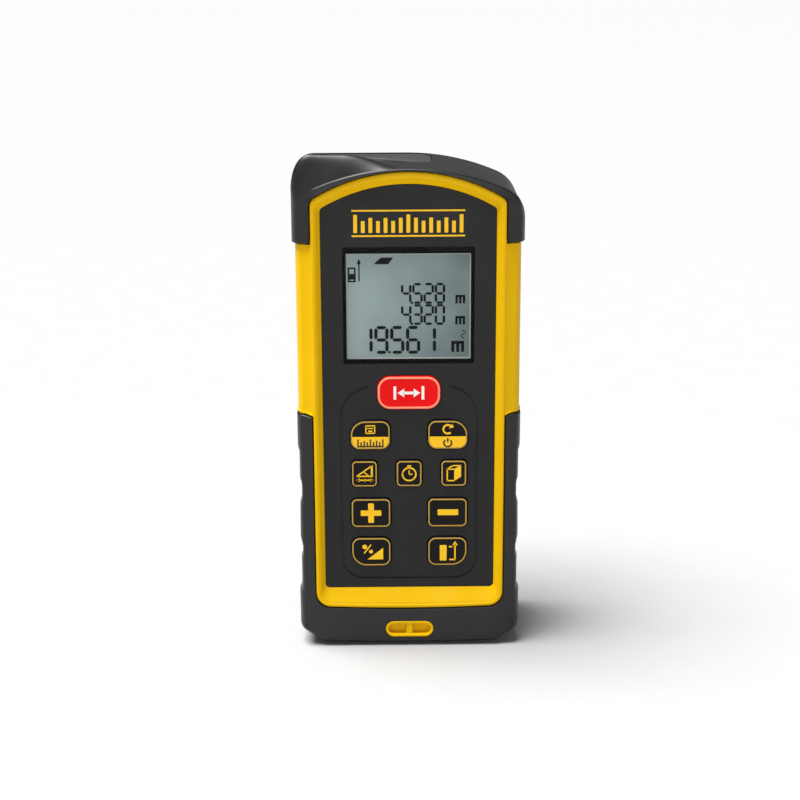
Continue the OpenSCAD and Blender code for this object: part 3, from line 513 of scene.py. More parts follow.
# ---------------------------------------------------------------- meshes
class Islands:
    """Closed bodies gathered into one mesh. Places are millimetres."""

    def __init__(self) -> None:
        """Starts empty."""
        self.points: list[Array] = []
        self.faces: list[Array] = []
        self.count = 0

    def add(self, points: Array, *faces: Array) -> None:
        """Adds a body.

        Args:
            points: (n, 3) places.
            faces: arrays of (m, corners) into points.
        """
        self.points.append(points.reshape(-1, 3))
        self.faces.extend(np.atleast_2d(f) + self.count for f in faces)
        self.count += len(self.points[-1])

    def piece(self, name: str, look: Look, body: str, slot: str | None = None,
              replaces: tuple[str, ...] = (), sharp: float = 38.0, weld: float = 0.002) -> bpy.types.Object:
        """Writes the mesh and makes it a piece that rides on a body.

        Args:
            name: the piece's name.
            look: its finish.
            body: the CAD body that it moves with.
            slot: the name of a material slot; not used.
            replaces: CAD nodes that it stands for.
            sharp: edges turning more than this many degrees stay sharp.
            weld: corners closer than this are joined.

        Returns:
            The new object.
        """
        mesh = bpy.data.meshes.new(name)
        points = np.concatenate(self.points) * MM
        loops = np.concatenate([f.ravel() for f in self.faces]).astype(np.int32)
        sizes = np.concatenate([np.full(len(f), f.shape[1]) for f in self.faces])
        starts = np.concatenate([[0], np.cumsum(sizes)[:-1]]).astype(np.int32)
        mesh.vertices.add(len(points))
        mesh.vertices.foreach_set("co", points.astype(np.float32).ravel())
        mesh.loops.add(len(loops))
        mesh.loops.foreach_set("vertex_index", loops)
        mesh.polygons.add(len(starts))
        mesh.polygons.foreach_set("loop_start", starts)
        mesh.update(calc_edges=True)
        mesh.validate()
        work = bmesh.new()
        work.from_mesh(mesh)
        bmesh.ops.remove_doubles(work, verts=work.verts, dist=weld * MM)
        bmesh.ops.dissolve_degenerate(work, edges=work.edges, dist=weld * MM * 0.1)
        bmesh.ops.recalc_face_normals(work, faces=work.faces)
        work.to_mesh(mesh)
        work.free()
        piece = bpy.data.objects.new(name, mesh)
        bpy.context.scene.collection.objects.link(piece)
        smooth(mesh, sharp)
        mesh.materials.append(WARDROBE.get(look))
        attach(piece, body)
        if replaces:
            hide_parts(*replaces)
        LOG.info("%s: %d faces on %s", name, len(mesh.polygons), body)
        return piece


def smooth(mesh: bpy.types.Mesh, sharp: float) -> None:
    """Shades a mesh smooth but for its sharp edges.

    Args:
        mesh: the mesh.
        sharp: edges that turn more than this many degrees stay sharp.
    """
    mesh.polygons.foreach_set("use_smooth", np.ones(len(mesh.polygons), bool))
    mesh.set_sharp_from_angle(angle=math.radians(sharp))
    mesh.update()


def grid(n_u: int, n_v: int, wrap_u: bool = False, wrap_v: bool = False) -> Array:
    """Quads over a grid of points stored u by u: the corner at (u, v) is u * n_v + v.

    Args:
        n_u: points along u.
        n_v: points along v.
        wrap_u: whether the last u joins the first.
        wrap_v: whether the last v joins the first.

    Returns:
        (m, 4) corners.
    """
    u = np.arange(n_u if wrap_u else n_u - 1)[:, None]
    v = np.arange(n_v if wrap_v else n_v - 1)[None, :]
    u1, v1 = (u + 1) % n_u, (v + 1) % n_v
    corners = [u * n_v + v, u1 * n_v + v, u1 * n_v + v1, u * n_v + v1]
    return np.stack(corners, -1).reshape(-1, 4)


def prism(outline: Array, y0: float, y1: float) -> Body:
    """A flat shape in XZ pushed along Y.

    Args:
        outline: (n, 2) corners of the shape.
        y0: where it starts.
        y1: where it ends.

    Returns:
        Its points, both caps and its sides.
    """
    n = len(outline)
    points = np.concatenate([np.insert(outline, 1, y, axis=1) for y in (y0, y1)])
    ring = np.arange(n)
    sides = np.stack([ring, (ring + 1) % n, (ring + 1) % n + n, ring + n], -1)
    return points, ring[None, :], ring[None, ::-1] + n, sides


def arc(cx: float, cz: float, r: float, start: float, end: float, n: int = 12) -> Array:
    """Points on a circle from one angle to another, in degrees."""
    a = np.radians(np.linspace(start, end, n))
    return np.stack([cx + r * np.cos(a), cz + r * np.sin(a)], -1)


def rounded(x: float, z: float, w: float, h: float, radii: tuple[float, ...], grow: float = 0.0,
            n: int = 9) -> Array:
    """A rectangle grown by grow, with its own radius at each corner. A radius grows with the rectangle
    and never falls below a hair.

    Args:
        x: its middle.
        z: its middle.
        w: its width.
        h: its height.
        radii: top left, top right, bottom right and bottom left radius.
        grow: how far every side moves outwards.
        n: points on each corner.

    Returns:
        (4 * n, 2) points.
    """
    hw, hh = max(w / 2 + grow, 0.01), max(h / 2 + grow, 0.01)
    r = [min(max(q + grow, 0.02), hw, hh) for q in radii]
    corners = ((1, 1, r[1], 0), (-1, 1, r[0], 90), (-1, -1, r[3], 180), (1, -1, r[2], 270))
    return np.concatenate([arc(x + across * (hw - q), z + up * (hh - q), q, start, start + 90, n)
                           for across, up, q, start in corners])


def stroke(a: Pair, b: Pair, width: float) -> Array:
    """A straight bar: both ends moved half a width to either side of the line between them.

    Args:
        a: one end.
        b: the other end.
        width: the bar's width.

    Returns:
        Its four corners.
    """
    p, q = np.array(a, float), np.array(b, float)
    along = (q - p) / np.linalg.norm(q - p)
    side = np.array([-along[1], along[0]]) * width / 2
    return np.stack([p - side, q - side, q + side, p + side])


def carve(piece: bpy.types.Object, cutter: Islands, sharp: float = 38.0) -> None:
    """Takes the cutter's bodies out of a piece, for good.

    Args:
        piece: the piece.
        cutter: the bodies, which don't overlap each other.
        sharp: edges that turn more than this many degrees stay sharp.
    """
    tool = cutter.piece("cutter", Look.RUBBER, "case")
    step = piece.modifiers.new("carve", "BOOLEAN")
    step.operation, step.solver, step.object = "DIFFERENCE", "EXACT", tool
    bpy.context.view_layer.update()
    made = bpy.data.meshes.new_from_object(piece.evaluated_get(bpy.context.evaluated_depsgraph_get()))
    piece.modifiers.clear()
    piece.data = made
    bpy.data.objects.remove(tool)
    smooth(made, sharp)


def box_mm(node: str) -> tuple[Array, Array]:
    """Lowest and highest corner of a CAD node in millimetres."""
    low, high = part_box(node)
    return np.array(low) / MM, np.array(high) / MM


# ---------------------------------------------------------------- outlines
@dataclass(frozen=True)
class Layout:
    """Where the case, the rim and the boots lie, and the places shared by every outline."""

    half_w: float = 28.3
    total_h: float = 128.0
    y_front: float = -15.5
    y_back: float = 15.5
    y_split: float = -6.5
    face_drop: float = 0.4
    grip_z: float = 64.6
    grip_fall: float = 0.6
    leg_z: float = 109.0
    side_lo: float = 20.0
    side_hi: float = 110.4
    plate_half: float = 22.1
    plate_z0: float = 16.7
    plate_top: float = 123.9
    top_arc_r: float = 59.8
    rim_arc_r: float = 45.5

    @classmethod
    def from_frame(cls) -> "Layout":
        """Reads the main sizes off the CAD nodes' boxes.

        Returns:
            The layout.
        """
        case, boot, grip = box_mm("rear_housing"), box_mm("upper_boot"), box_mm("lower_boot")
        front, plate = box_mm("front_housing"), box_mm("face_plate")
        return cls(half_w=float(case[1][0]), total_h=float(boot[1][2]), y_front=float(front[0][1]),
                   y_back=float(case[1][1]), y_split=float(front[1][1]), leg_z=float(boot[0][2]) - 0.05,
                   grip_z=min(float(grip[1][2]), cls.grip_z), plate_half=float(plate[1][0]),
                   plate_z0=float(plate[0][2]), plate_top=float(plate[1][2]))

    def side_heights(self) -> Array:
        """Heights of the samples up the straight sides, crowded round both boots' edges.

        Returns:
            The heights, rising.
        """
        near = np.array([0.0, 0.04, 0.09, 0.15, 0.22, 0.31, 0.42, 0.56, 0.75, 1.0, 1.35])
        parts = [np.linspace(self.side_lo, self.side_hi, 112)]
        for edge in (self.grip_z, self.leg_z):
            parts += [edge - near, edge + near]
        heights = np.unique(np.round(np.concatenate(parts), 4))
        return heights[heights <= self.side_hi]


class Outline:
    """A closed outline in the XZ plane, sampled at places shared by every outline: bottom centre, foot
    corner, straight side, top corner, top centre, and back down the other side."""

    FOOT, FOOT_SIDE, SHOULDER, ARCH = 34, 16, 24, 44
    SHOULDER_WAY = (0.84, 0.54)
    SLANT_REACH = 6.0
    FAR_BELOW, FAR_ABOVE = -99.0, 999.0

    def __init__(self, layout: Layout, right: Array, left: Array | None = None, slant: float = 0.0) -> None:
        """Samples one or two half outlines that run from bottom centre to top centre.

        Args:
            layout: the shared places.
            right: (n, 2) points of the half on the +X side.
            left: the other half, drawn on the +X side too; the same as right if left out.
            slant: how far the samples round the grips' upper edge are drawn down.
        """
        self.layout, self.slant = layout, slant
        first = self._half(right)
        second = self._half(right if left is None else left) * np.array([-1.0, 1.0])
        self.points = np.concatenate([first, second[-2:0:-1]])
        ahead, behind = np.roll(self.points, -1, axis=0), np.roll(self.points, 1, axis=0)
        along = ahead - behind
        along /= np.linalg.norm(along, axis=1, keepdims=True)
        self.normals = np.stack([along[:, 1], -along[:, 0]], -1)

    def _half(self, path: Array) -> Array:
        """Resamples half an outline at the shared places.

        Runs between named places are cut into equal lengths; the straight side is cut at the layout's
        heights, drawn down by slant * exp(-((z - grip_z) / SLANT_REACH) ** 2). The foot corner is the
        place furthest down and outwards, and the shoulder the one furthest along SHOULDER_WAY.

        Args:
            path: (n, 2) half outline from bottom centre to top centre.

        Returns:
            (samples, 2) places.
        """
        length = np.concatenate([[0], np.cumsum(np.linalg.norm(np.diff(path, axis=0), axis=1))])
        across, up = self.SHOULDER_WAY
        upper = path[:, 1] > self.layout.side_hi
        foot = int(np.argmax(np.where(path[:, 1] < self.layout.side_lo, path[:, 0] - path[:, 1], -np.inf)))
        top = int(np.argmax(np.where(upper, across * path[:, 0] + up * path[:, 1], -np.inf)))
        climb_z, climb_l = path[foot:, 1], length[foot:]
        low, high = np.interp([self.layout.side_lo, self.layout.side_hi], climb_z, climb_l)
        heights = self.layout.side_heights()
        drawn = heights - self.slant * np.exp(-(((heights - self.layout.grip_z) / self.SLANT_REACH) ** 2))
        places = np.concatenate([
            np.linspace(0, length[foot], self.FOOT, endpoint=False),
            np.linspace(length[foot], low, self.FOOT_SIDE, endpoint=False),
            np.interp(drawn, climb_z, climb_l),
            np.linspace(high, length[top], self.SHOULDER)[1:],
            np.linspace(length[top], length[-1], self.ARCH)[1:]])
        return np.stack([np.interp(places, length, path[:, 0]), np.interp(places, length, path[:, 1])], -1)

    def heights(self) -> Array:
        """The layout's height of every sample: far below on the foot, far above on the top.

        Returns:
            One height for each sample.
        """
        side = self.layout.side_heights()
        half = np.concatenate([np.full(self.FOOT + self.FOOT_SIDE, self.FAR_BELOW), side,
                               np.full(self.SHOULDER + self.ARCH - 2, self.FAR_ABOVE)])
        return np.concatenate([half, half[-2:0:-1]])

    def grown(self, t: Array | float) -> Array:
        """The samples moved outwards by t."""
        return self.points + np.reshape(t, (-1, 1)) * self.normals


def arch_half(hw: float, z0: float, top: float, big_r: float, foot_r: float, top_r: float,
              sag: float = 0.0) -> Array:
    """Half an outline with a rounded foot corner and an arc over the top joined by a fillet.

    The fillet's centre lies where it touches both the side and the arc from inside; the bottom bows down
    by sag as a parabola.

    Args:
        hw: half the width.
        z0: height of the bottom.
        top: height of the top.
        big_r: radius of the arc over the top.
        foot_r: radius of the foot corner.
        top_r: radius of the fillet.
        sag: how far the bottom's middle hangs below its ends.

    Returns:
        (n, 2) points from bottom centre to top centre.
    """
    rz = top - big_r + math.sqrt((big_r - top_r) ** 2 - (hw - top_r) ** 2)
    ra = math.degrees(math.atan2(rz - (top - big_r), hw - top_r))
    x = np.linspace(0, hw - foot_r, BOTTOM_POINTS)
    bottom = np.stack([x, z0 + sag * (x / (hw - foot_r)) ** 2], -1)
    foot = arc(hw - foot_r, z0 + sag + foot_r, foot_r, -90, 0, FOOT_POINTS)[1:]
    fillet, over = arc(hw - top_r, rz, top_r, 0, ra, 50), arc(0, top - big_r, big_r, ra, 90, 120)[1:]
    return np.concatenate([bottom, foot, fillet, over])


def case_half(hw: float, z0: float, top: float, big_r: float, top_r: float, cut: Pair,
              sag: float = 0.0, square: bool = False) -> Array:
    """Half of the case's outline: a cut foot corner, and an arc or a square corner over the top.

    Corners are eased by averaging the path over a short length.

    Args:
        hw: half the width.
        z0: height of the bottom.
        top: height of the top.
        big_r: radius of the arc over the top.
        top_r: radius of the corner below it.
        cut: width and height of the cut at the foot corner.
        sag: how far the bottom's middle hangs below its ends.
        square: whether the top is square.

    Returns:
        (n, 2) points from bottom centre to top centre.
    """
    x = np.linspace(0, hw - cut[0], BOTTOM_POINTS)
    foot = np.concatenate([np.stack([x, z0 + sag * (x / (hw - cut[0])) ** 2], -1), [[hw, z0 + cut[1]]]])
    if square:
        head = np.concatenate([arc(hw - top_r, top - top_r, top_r, 0, 90, 50), [[0, top]]])
    else:
        head = arch_half(hw, z0, top, big_r, 1.0, top_r)[BOTTOM_POINTS + FOOT_POINTS - 1:]
    path = np.concatenate([foot, head])
    length = np.concatenate([[0], np.cumsum(np.linalg.norm(np.diff(path, axis=0), axis=1))])
    even = np.linspace(0, length[-1], CORNER_SAMPLES)
    dense = np.stack([np.interp(even, length, path[:, 0]), np.interp(even, length, path[:, 1])], -1)
    half = CORNER_WINDOW // 2
    window = np.ones(CORNER_WINDOW) / CORNER_WINDOW
    padded = np.concatenate([dense[half:0:-1] * [-1, 1], dense, dense[-2:-2 - half:-1] * [-1, 1]])
    return np.stack([np.convolve(column, window, "valid") for column in padded.T], -1)


# ---------------------------------------------------------------- the case's skin
class Zone(Enum):
    """Parts of a section through the skin, from the front rim round to the back."""

    FACE = 1
    EDGE = 2
    SIDE = 3
    HEEL = 4
    BACK = 5


@dataclass(frozen=True)
class Skin:
    """One level of the outer surface."""

    face: float
    side: Array | float
    edge_in: Array
    edge_deep: Array
    heel_in: float = 2.8
    heel_deep: float = 3.4


class Envelope:
    """The outer surface of the meter at any level, as rows of points over the shared samples."""

    ramp_end: float = 3.2
    ramp_power: float = 1.5
    sight_slope: float = 0.18
    sight_depth: float = 20.2
    crown: float = 0.3
    crown_end: Pair = (5.5, 9.0)
    face_fall: float = 0.9
    proud: float = 0.8
    foot_z: float = 1.6
    foot_cut: Pair = (5.0, 4.0)
    foot_bow: float = 0.45
    rim_z0: float = 11.1
    rim_side: float = 2.58
    rim_above: float = 3.3
    rim_corners: Pair = (4.0, 2.3)
    back_side: float = 2.3
    back_below: float = 1.4
    back_corners: Pair = (4.0, 5.0)
    front_corner: float = 8.0
    rear_corner: float = 3.6
    block_from: Pair = (0.0, 16.0)

    def __init__(self, layout: Layout) -> None:
        """Draws the rim's outline, the front arch, the rear square block and the back panel.

        Args:
            layout: the main sizes.
        """
        self.layout = layout
        top, radius, hw = layout.total_h - self.proud, layout.top_arc_r - self.proud, layout.half_w
        rim = arch_half(layout.plate_half + self.rim_side, self.rim_z0, layout.plate_top + self.rim_above,
                        layout.rim_arc_r + 0.4, *self.rim_corners, self.foot_bow)
        back = arch_half(layout.plate_half + self.back_side, self.rim_z0, layout.plate_top - self.back_below,
                         layout.rim_arc_r + 10, *self.back_corners)
        arch = case_half(hw, self.foot_z, top, radius, self.front_corner, self.foot_cut, self.foot_bow)
        block = case_half(hw, self.foot_z, top, radius, self.rear_corner, self.foot_cut, self.foot_bow, True)
        self.rim = Outline(layout, rim, slant=layout.grip_fall)
        self.back = Outline(layout, back, slant=layout.grip_fall)
        self.front, self.rear = Outline(layout, arch), Outline(layout, arch, block)
        self.lean = self.front.normals[:, 0] ** 2

    def row(self, skin: Skin, zone: Zone, s: float) -> Array:
        """One row of the surface.

        FACE runs in a straight line from the rim to the edge's rounding. EDGE is a quarter ellipse of
        edge_in by edge_deep. Both fall back along the sides by face_fall. SIDE runs straight back along
        between(). HEEL is the quarter ellipse at the back, and BACK runs in to the back panel.

        Args:
            skin: the level.
            zone: the part of the section.
            s: 0 to 1 along that part.

        Returns:
            (n, 3) places in millimetres.
        """
        lay = self.layout
        side = np.broadcast_to(skin.side, (len(self.front.points),)).astype(float)
        y_face = lay.y_front + lay.face_drop - skin.face
        y_heel = lay.y_back + skin.face
        n_front, n_rear = self.front.normals, self.rear.normals
        fall = self.face_fall * self.lean
        if zone in (Zone.FACE, Zone.EDGE):
            turn = math.sin(s * math.pi / 2) if zone is Zone.EDGE else 0.0
            grow = skin.face + (side - skin.face) * turn ** 2
            deep = skin.edge_deep * (1 - math.cos(s * math.pi / 2) if zone is Zone.EDGE else 0)
            y = y_face + fall + deep
            outer = self.between(grow, y)[:, [0, 2]] - (skin.edge_in * (1 - turn))[:, None] * n_front
            if zone is Zone.FACE:
                outer = self.rim.points + (outer - self.rim.points) * s
                y = y_face + fall * s
            return np.stack([outer[:, 0], y, outer[:, 1]], -1)
        if zone is Zone.SIDE:
            start, end = y_face + fall + skin.edge_deep, y_heel - skin.heel_deep
            y = start + (end - start) * s
            return self.between(side, y)
        turn = math.cos(s * math.pi / 2) if zone is Zone.HEEL else 0.0
        grow = skin.face + (side - skin.face) * turn ** 2
        rear = self.between(grow, np.full(len(side), y_heel - skin.heel_deep))[:, [0, 2]]
        rear = rear - (skin.heel_in * (1 - turn)) * n_rear
        if zone is Zone.BACK:
            rear = rear + (self.back.points - rear) * s
            return np.stack([rear[:, 0], np.full(len(side), y_heel), rear[:, 1]], -1)
        y = y_heel - skin.heel_deep * (1 - math.sin(s * math.pi / 2))
        return np.stack([rear[:, 0], np.full(len(side), y), rear[:, 1]], -1)

    def between(self, grow: Array | float, y: Array) -> Array:
        """The outline at some depths: the arch, a little wider near the front, which turns into the
        square block by the share 1 - (1 - depth / ramp_end) ** ramp_power, steep at first. The block's top
        then falls gently backwards.

        Args:
            grow: how far the skin stands off the case.
            y: the depth of each sample.

        Returns:
            (samples, 3) places.
        """
        depth = y - self.layout.y_front
        share = (1 - (1 - np.clip(depth / self.ramp_end, 0, 1)) ** self.ramp_power)[:, None]
        grow = grow + self.crown * self.lean * (1 - smooth_step(depth, *self.crown_end))
        at = self.front.grown(grow) * (1 - share) + self.rear.grown(grow) * share
        over = smooth_step(-at[:, 0], *self.block_from)
        over = over * np.clip((self.rear.normals[:, 1] - 0.2) / 0.8, 0, 1)
        lift = self.sight_slope * np.clip(self.sight_depth - depth, 0, None) * share[:, 0] * over
        return np.stack([at[:, 0], y, at[:, 1] + lift], -1)

    def sheet(self, skin: Skin, rows: list[tuple[Zone, float]]) -> Array:
        """All rows of a level as an array of (samples, rows, 3)."""
        return np.stack([self.row(skin, zone, s) for zone, s in rows], 1)

    def corner_share(self) -> Array:
        """0 along the sides and the foot, 1 over the top, eased round the shoulders."""
        return smooth_step(self.front.normals[:, 1], 0.1, 0.7)


def smooth_step(value: Array, low: float, high: float) -> Array:
    """0 below low, 1 above high, and s * s * (3 - 2 * s) of the share s between them."""
    s = np.clip((value - low) / (high - low), 0, 1)
    return s * s * (3 - 2 * s)


def fine(n: int, power: float = 1.7) -> list[float]:
    """n + 1 steps from 0 to 1, crowded towards 0."""
    return [(i / n) ** power for i in range(n + 1)]


def edge_rise(distance: Array, radius: float) -> Array:
    """Height of a rounded border: 0 outside, then a quarter circle up to 1 over radius."""
    s = np.clip(distance / radius, 0, 1)
    return np.sqrt(np.clip(1 - (1 - s) ** 2, 0, 1))


def corner_distance(a: Array, b: Array, radius: float) -> Array:
    """Distance inside two borders at once, with the corner between them rounded off."""
    inside = np.hypot(np.clip(radius - a, 0, None), np.clip(radius - b, 0, None))
    return np.minimum(np.minimum(a, b), radius - inside)


def kept(outer: Array, inner: Array, level: Array, wrap: bool) -> tuple[Array, Array, Array]:
    """Points and quads of a closed body between two sheets, wherever level is above 0.

    Args:
        outer: (samples, rows, 3) outer sheet.
        inner: the inner sheet over the same samples.
        level: (samples, rows) share of the way from inner to outer.
        wrap: whether the last sample joins the first.

    Returns:
        Points, outer quads and inner quads.
    """
    n_u, n_v = level.shape
    skin = inner + (outer - inner) * level[..., None]
    points = np.concatenate([skin.reshape(-1, 3), inner.reshape(-1, 3)])
    quads = grid(n_u, n_v, wrap)
    used = quads[level.ravel()[quads].max(1) > 0]
    return points, used, used[:, ::-1] + n_u * n_v


@dataclass
class Boots:
    """The two rubber boots that wrap the ends of the case."""

    layout: Layout
    envelope: Envelope
    upper_proud: float = 0.8
    lower_proud: float = 0.5
    seat: float = 1.0
    foot_lift: float = 0.02
    border: float = 0.45
    leg_corner: float = 1.3
    grip_corner: float = 0.4
    side_near: float = 0.34
    side_edge: Pair = (2.0, 3.6)
    eye_w: float = 12.8
    eye_h: float = 4.6
    # The exit pane's rings: how far each lies inside its outline and below the boot's top.
    pane_rings: tuple[Pair, ...] = ((0.0, 2.2), (0.0, 0.3), (0.05, 0.18), (0.2, 0.1), (0.5, 0.08),
                                    (3.0, 0.08), (6.0, 0.08), (8.0, 0.08))
    # The grips' pads and steps: heights down the side, and how far the side stands off the case there.
    steps: tuple[Pair, ...] = (
        (66.0, 0.35), (55.3, 0.35), (54.2, -0.05), (46.9, -0.05), (45.5, -0.6), (41.7, -0.6), (39.7, 0.0),
        (30.3, 0.1), (28.1, -0.55), (25.3, -0.55), (25.0, -0.1), (16.0, -0.1), (15.4, 0.5), (4.0, 0.5))

    def rows(self) -> list[tuple[Zone, float]]:
        """Rows of a boot's section, crowded at both borders.

        Returns:
            Pairs of zone and share along it.
        """
        near = self.side_near
        return ([(Zone.FACE, s) for s in fine(13)] + [(Zone.EDGE, i / 8) for i in range(1, 9)]
                + [(Zone.SIDE, near * i / 32) for i in range(1, 33)]
                + [(Zone.SIDE, near + (1 - near) * i / 16) for i in range(1, 17)]
                + [(Zone.HEEL, i / 7) for i in range(1, 8)]
                + [(Zone.BACK, 1 - s) for s in reversed(fine(12)[:-1])])

    def skin(self, face: float, side: Array | float, top_in: float, foot_in: float) -> Skin:
        """A level whose edge is broad along the sides and tight over the top.

        Args:
            face: how far the front and the back stand off the case.
            side: how far the sides do.
            top_in: the edge's width over the top.
            foot_in: the edge's width along the foot.

        Returns:
            The level.
        """
        over = self.envelope.corner_share()
        side_in, side_deep = self.side_edge
        edge_in = side_in + (top_in - side_in) * over
        edge_deep = side_deep + (max(top_in, 0.3) * 1.2 - side_deep) * over
        below = np.clip(-self.envelope.front.normals[:, 1], 0, 1)
        edge_in = edge_in + (foot_in - edge_in) * below
        return Skin(face, side, edge_in, edge_deep + (foot_in - edge_deep) * below)

    def body(self, outer: Array, inner: Array, reach: Array, choose: Array, corner: float) -> Islands:
        """The closed body of a boot: outer sheet, rounded borders, inner sheet.

        Args:
            outer: outer sheet.
            inner: inner sheet.
            reach: distance inside the boot's end borders, for each sample.
            choose: which samples to keep, in order.
            corner: radius of the corners between the borders.

        Returns:
            The body, ready to become a piece.
        """
        steps = np.linalg.norm(np.diff(outer, axis=1), axis=2)
        run = np.concatenate([np.zeros((len(outer), 1)), np.cumsum(steps, 1)], 1)
        across = np.minimum(run, run[:, -1:] - run)
        ends = np.broadcast_to(reach[:, None], across.shape)
        level = edge_rise(corner_distance(across, ends, corner), self.border)
        level[:, [0, -1]] = 0
        made = Islands()
        made.add(*kept(outer[choose], inner[choose], level[choose], False))
        return made

    def upper(self) -> bpy.types.Object:
        """Builds the upper boot, with its opening over both optical windows.

        Returns:
            The piece.
        """
        heights = self.envelope.front.heights()
        outer = self.envelope.sheet(self.skin(self.upper_proud, self.upper_proud, 0.5, 2.0), self.rows())
        inner = self.envelope.sheet(self.skin(-self.seat, -self.seat, 0.2, 2.0), self.rows())
        choose = np.flatnonzero(heights > self.layout.leg_z - 0.1)
        piece = self.body(outer, inner, heights - self.layout.leg_z, choose, self.leg_corner).piece(
            "upper_boot_skin", Look.RUBBER, "case", "boot_rubber", ("upper_boot",))
        low, high = box_mm("exit_window")
        hole = Islands()
        centre, size = (low + high) / 2, high - low
        outline = rounded(centre[0], centre[1], size[0] + 0.3, size[1] + 0.3, (4.1,) * 4, n=14)
        column, *faces = prism(outline, low[2] - 3, high[2] + 9)
        hole.add(column[:, [0, 2, 1]], *faces)
        carve(piece, hole)
        return piece

    def window(self) -> bpy.types.Object:
        """Builds the exit window as a dark pane that follows the boot's top just below its surface.

        A place on the pane is looked up between heights of the boot's top, worked out on a regular grid
        of X and Y.

        Returns:
            The piece.
        """
        low, high = box_mm("exit_window")
        centre, size = (low + high) / 2, high - low
        xs, ys = np.linspace(low[0] - 1, high[0] + 1, 60), np.linspace(low[1] - 1, high[1] + 1, 40)
        over = self.envelope.front.normals[:, 1] > 0.3
        tops = [self.envelope.between(self.upper_proud, np.full(len(over), y))[over] for y in ys]
        table = np.stack([np.interp(xs, row[::-1, 0], row[::-1, 2]) for row in tops])
        rings = []
        for inset, drop in self.pane_rings:
            flat = rounded(centre[0], centre[1], size[0] + 0.1, size[1] + 0.1, (4.0,) * 4, -inset, 14)
            i = np.clip((flat[:, 1] - ys[0]) / (ys[1] - ys[0]), 0, len(ys) - 1.001)
            j = np.clip((flat[:, 0] - xs[0]) / (xs[1] - xs[0]), 0, len(xs) - 1.001)
            i0, j0 = i.astype(int), j.astype(int)
            near = table[i0, j0] * (1 - j + j0) + table[i0, j0 + 1] * (j - j0)
            far = table[i0 + 1, j0] * (1 - j + j0) + table[i0 + 1, j0 + 1] * (j - j0)
            rings.append(np.c_[flat, near * (1 - i + i0) + far * (i - i0) - drop])
        spine, foot = rings[-1].copy(), rings[0].copy()
        for line in (spine, foot):
            line[:, 1] = centre[1]
            line[:, 0] = np.clip(line[:, 0], low[0] + size[1] / 2, high[0] - size[1] / 2)
        made = Islands()
        sheet = np.stack([foot] + rings + [spine], 1)
        made.add(sheet, grid(sheet.shape[0], sheet.shape[1], True))
        return made.piece("exit_pane", Look.PANE, "case", "clear_window", ("exit_window",), 35.0)

    def side_level(self) -> Array:
        """How far the lower boot's side stands off the case: pads joined by short slopes.

        Returns:
            One distance for each sample.
        """
        z = self.envelope.front.points[:, 1]
        step_z, step_t = np.array(self.steps[::-1]).T
        foot = self.envelope.front.heights() < 0
        return np.where(foot & (z < step_z[0]), step_t[0], np.interp(z, step_z, step_t))

    def lower(self) -> bpy.types.Object:
        """Builds the lower boot, open for the lanyard eye and the end bracket.

        Returns:
            The piece.
        """
        heights = self.envelope.front.heights()
        outer = self.envelope.sheet(self.skin(self.lower_proud, self.side_level(), 2.0, 1.6), self.rows())
        inner = self.envelope.sheet(self.skin(-self.seat, -self.seat, 2.0, 1.6), self.rows())
        outer[..., 2] = np.maximum(outer[..., 2], self.foot_lift)
        choose = np.flatnonzero(heights < self.layout.grip_z + 0.1)
        start = int(np.argmax(np.diff(choose))) + 1
        choose = np.concatenate([choose[start:], choose[:start]])
        piece = self.body(outer, inner, self.layout.grip_z - heights, choose, self.grip_corner).piece(
            "lower_boot_skin", Look.RUBBER, "case", "boot_rubber", ("lower_boot",))
        cut = Islands()
        eye_low, eye_high = box_mm("lanyard_anchor")
        eye_z = (eye_low[2] + eye_high[2]) / 2
        cut.add(*prism(rounded(0, eye_z, self.eye_w, self.eye_h, (self.eye_h / 2 - 0.01,) * 4, n=16),
                       self.layout.y_front - 3, eye_high[1] + 0.3))
        hinge_low, hinge_high = box_mm("end_bracket")
        half = hinge_high[0] + 0.4
        notch = np.array([[-half, -4], [half, -4], [half, hinge_low[2] + 6.0], [-half, hinge_low[2] + 6.0]])
        cut.add(*prism(notch, hinge_low[1] - 0.6, hinge_high[1] + 4))
        carve(piece, cut)
        leaf = Islands()
        plate = np.array([[-half, -5], [half, -5], [half, hinge_high[2] + 1], [-half, hinge_high[2] + 1]])
        leaf.add(*prism(plate, hinge_high[1] - 2.6, hinge_high[1] + 4.5))
        carve(piece, leaf)
        return piece


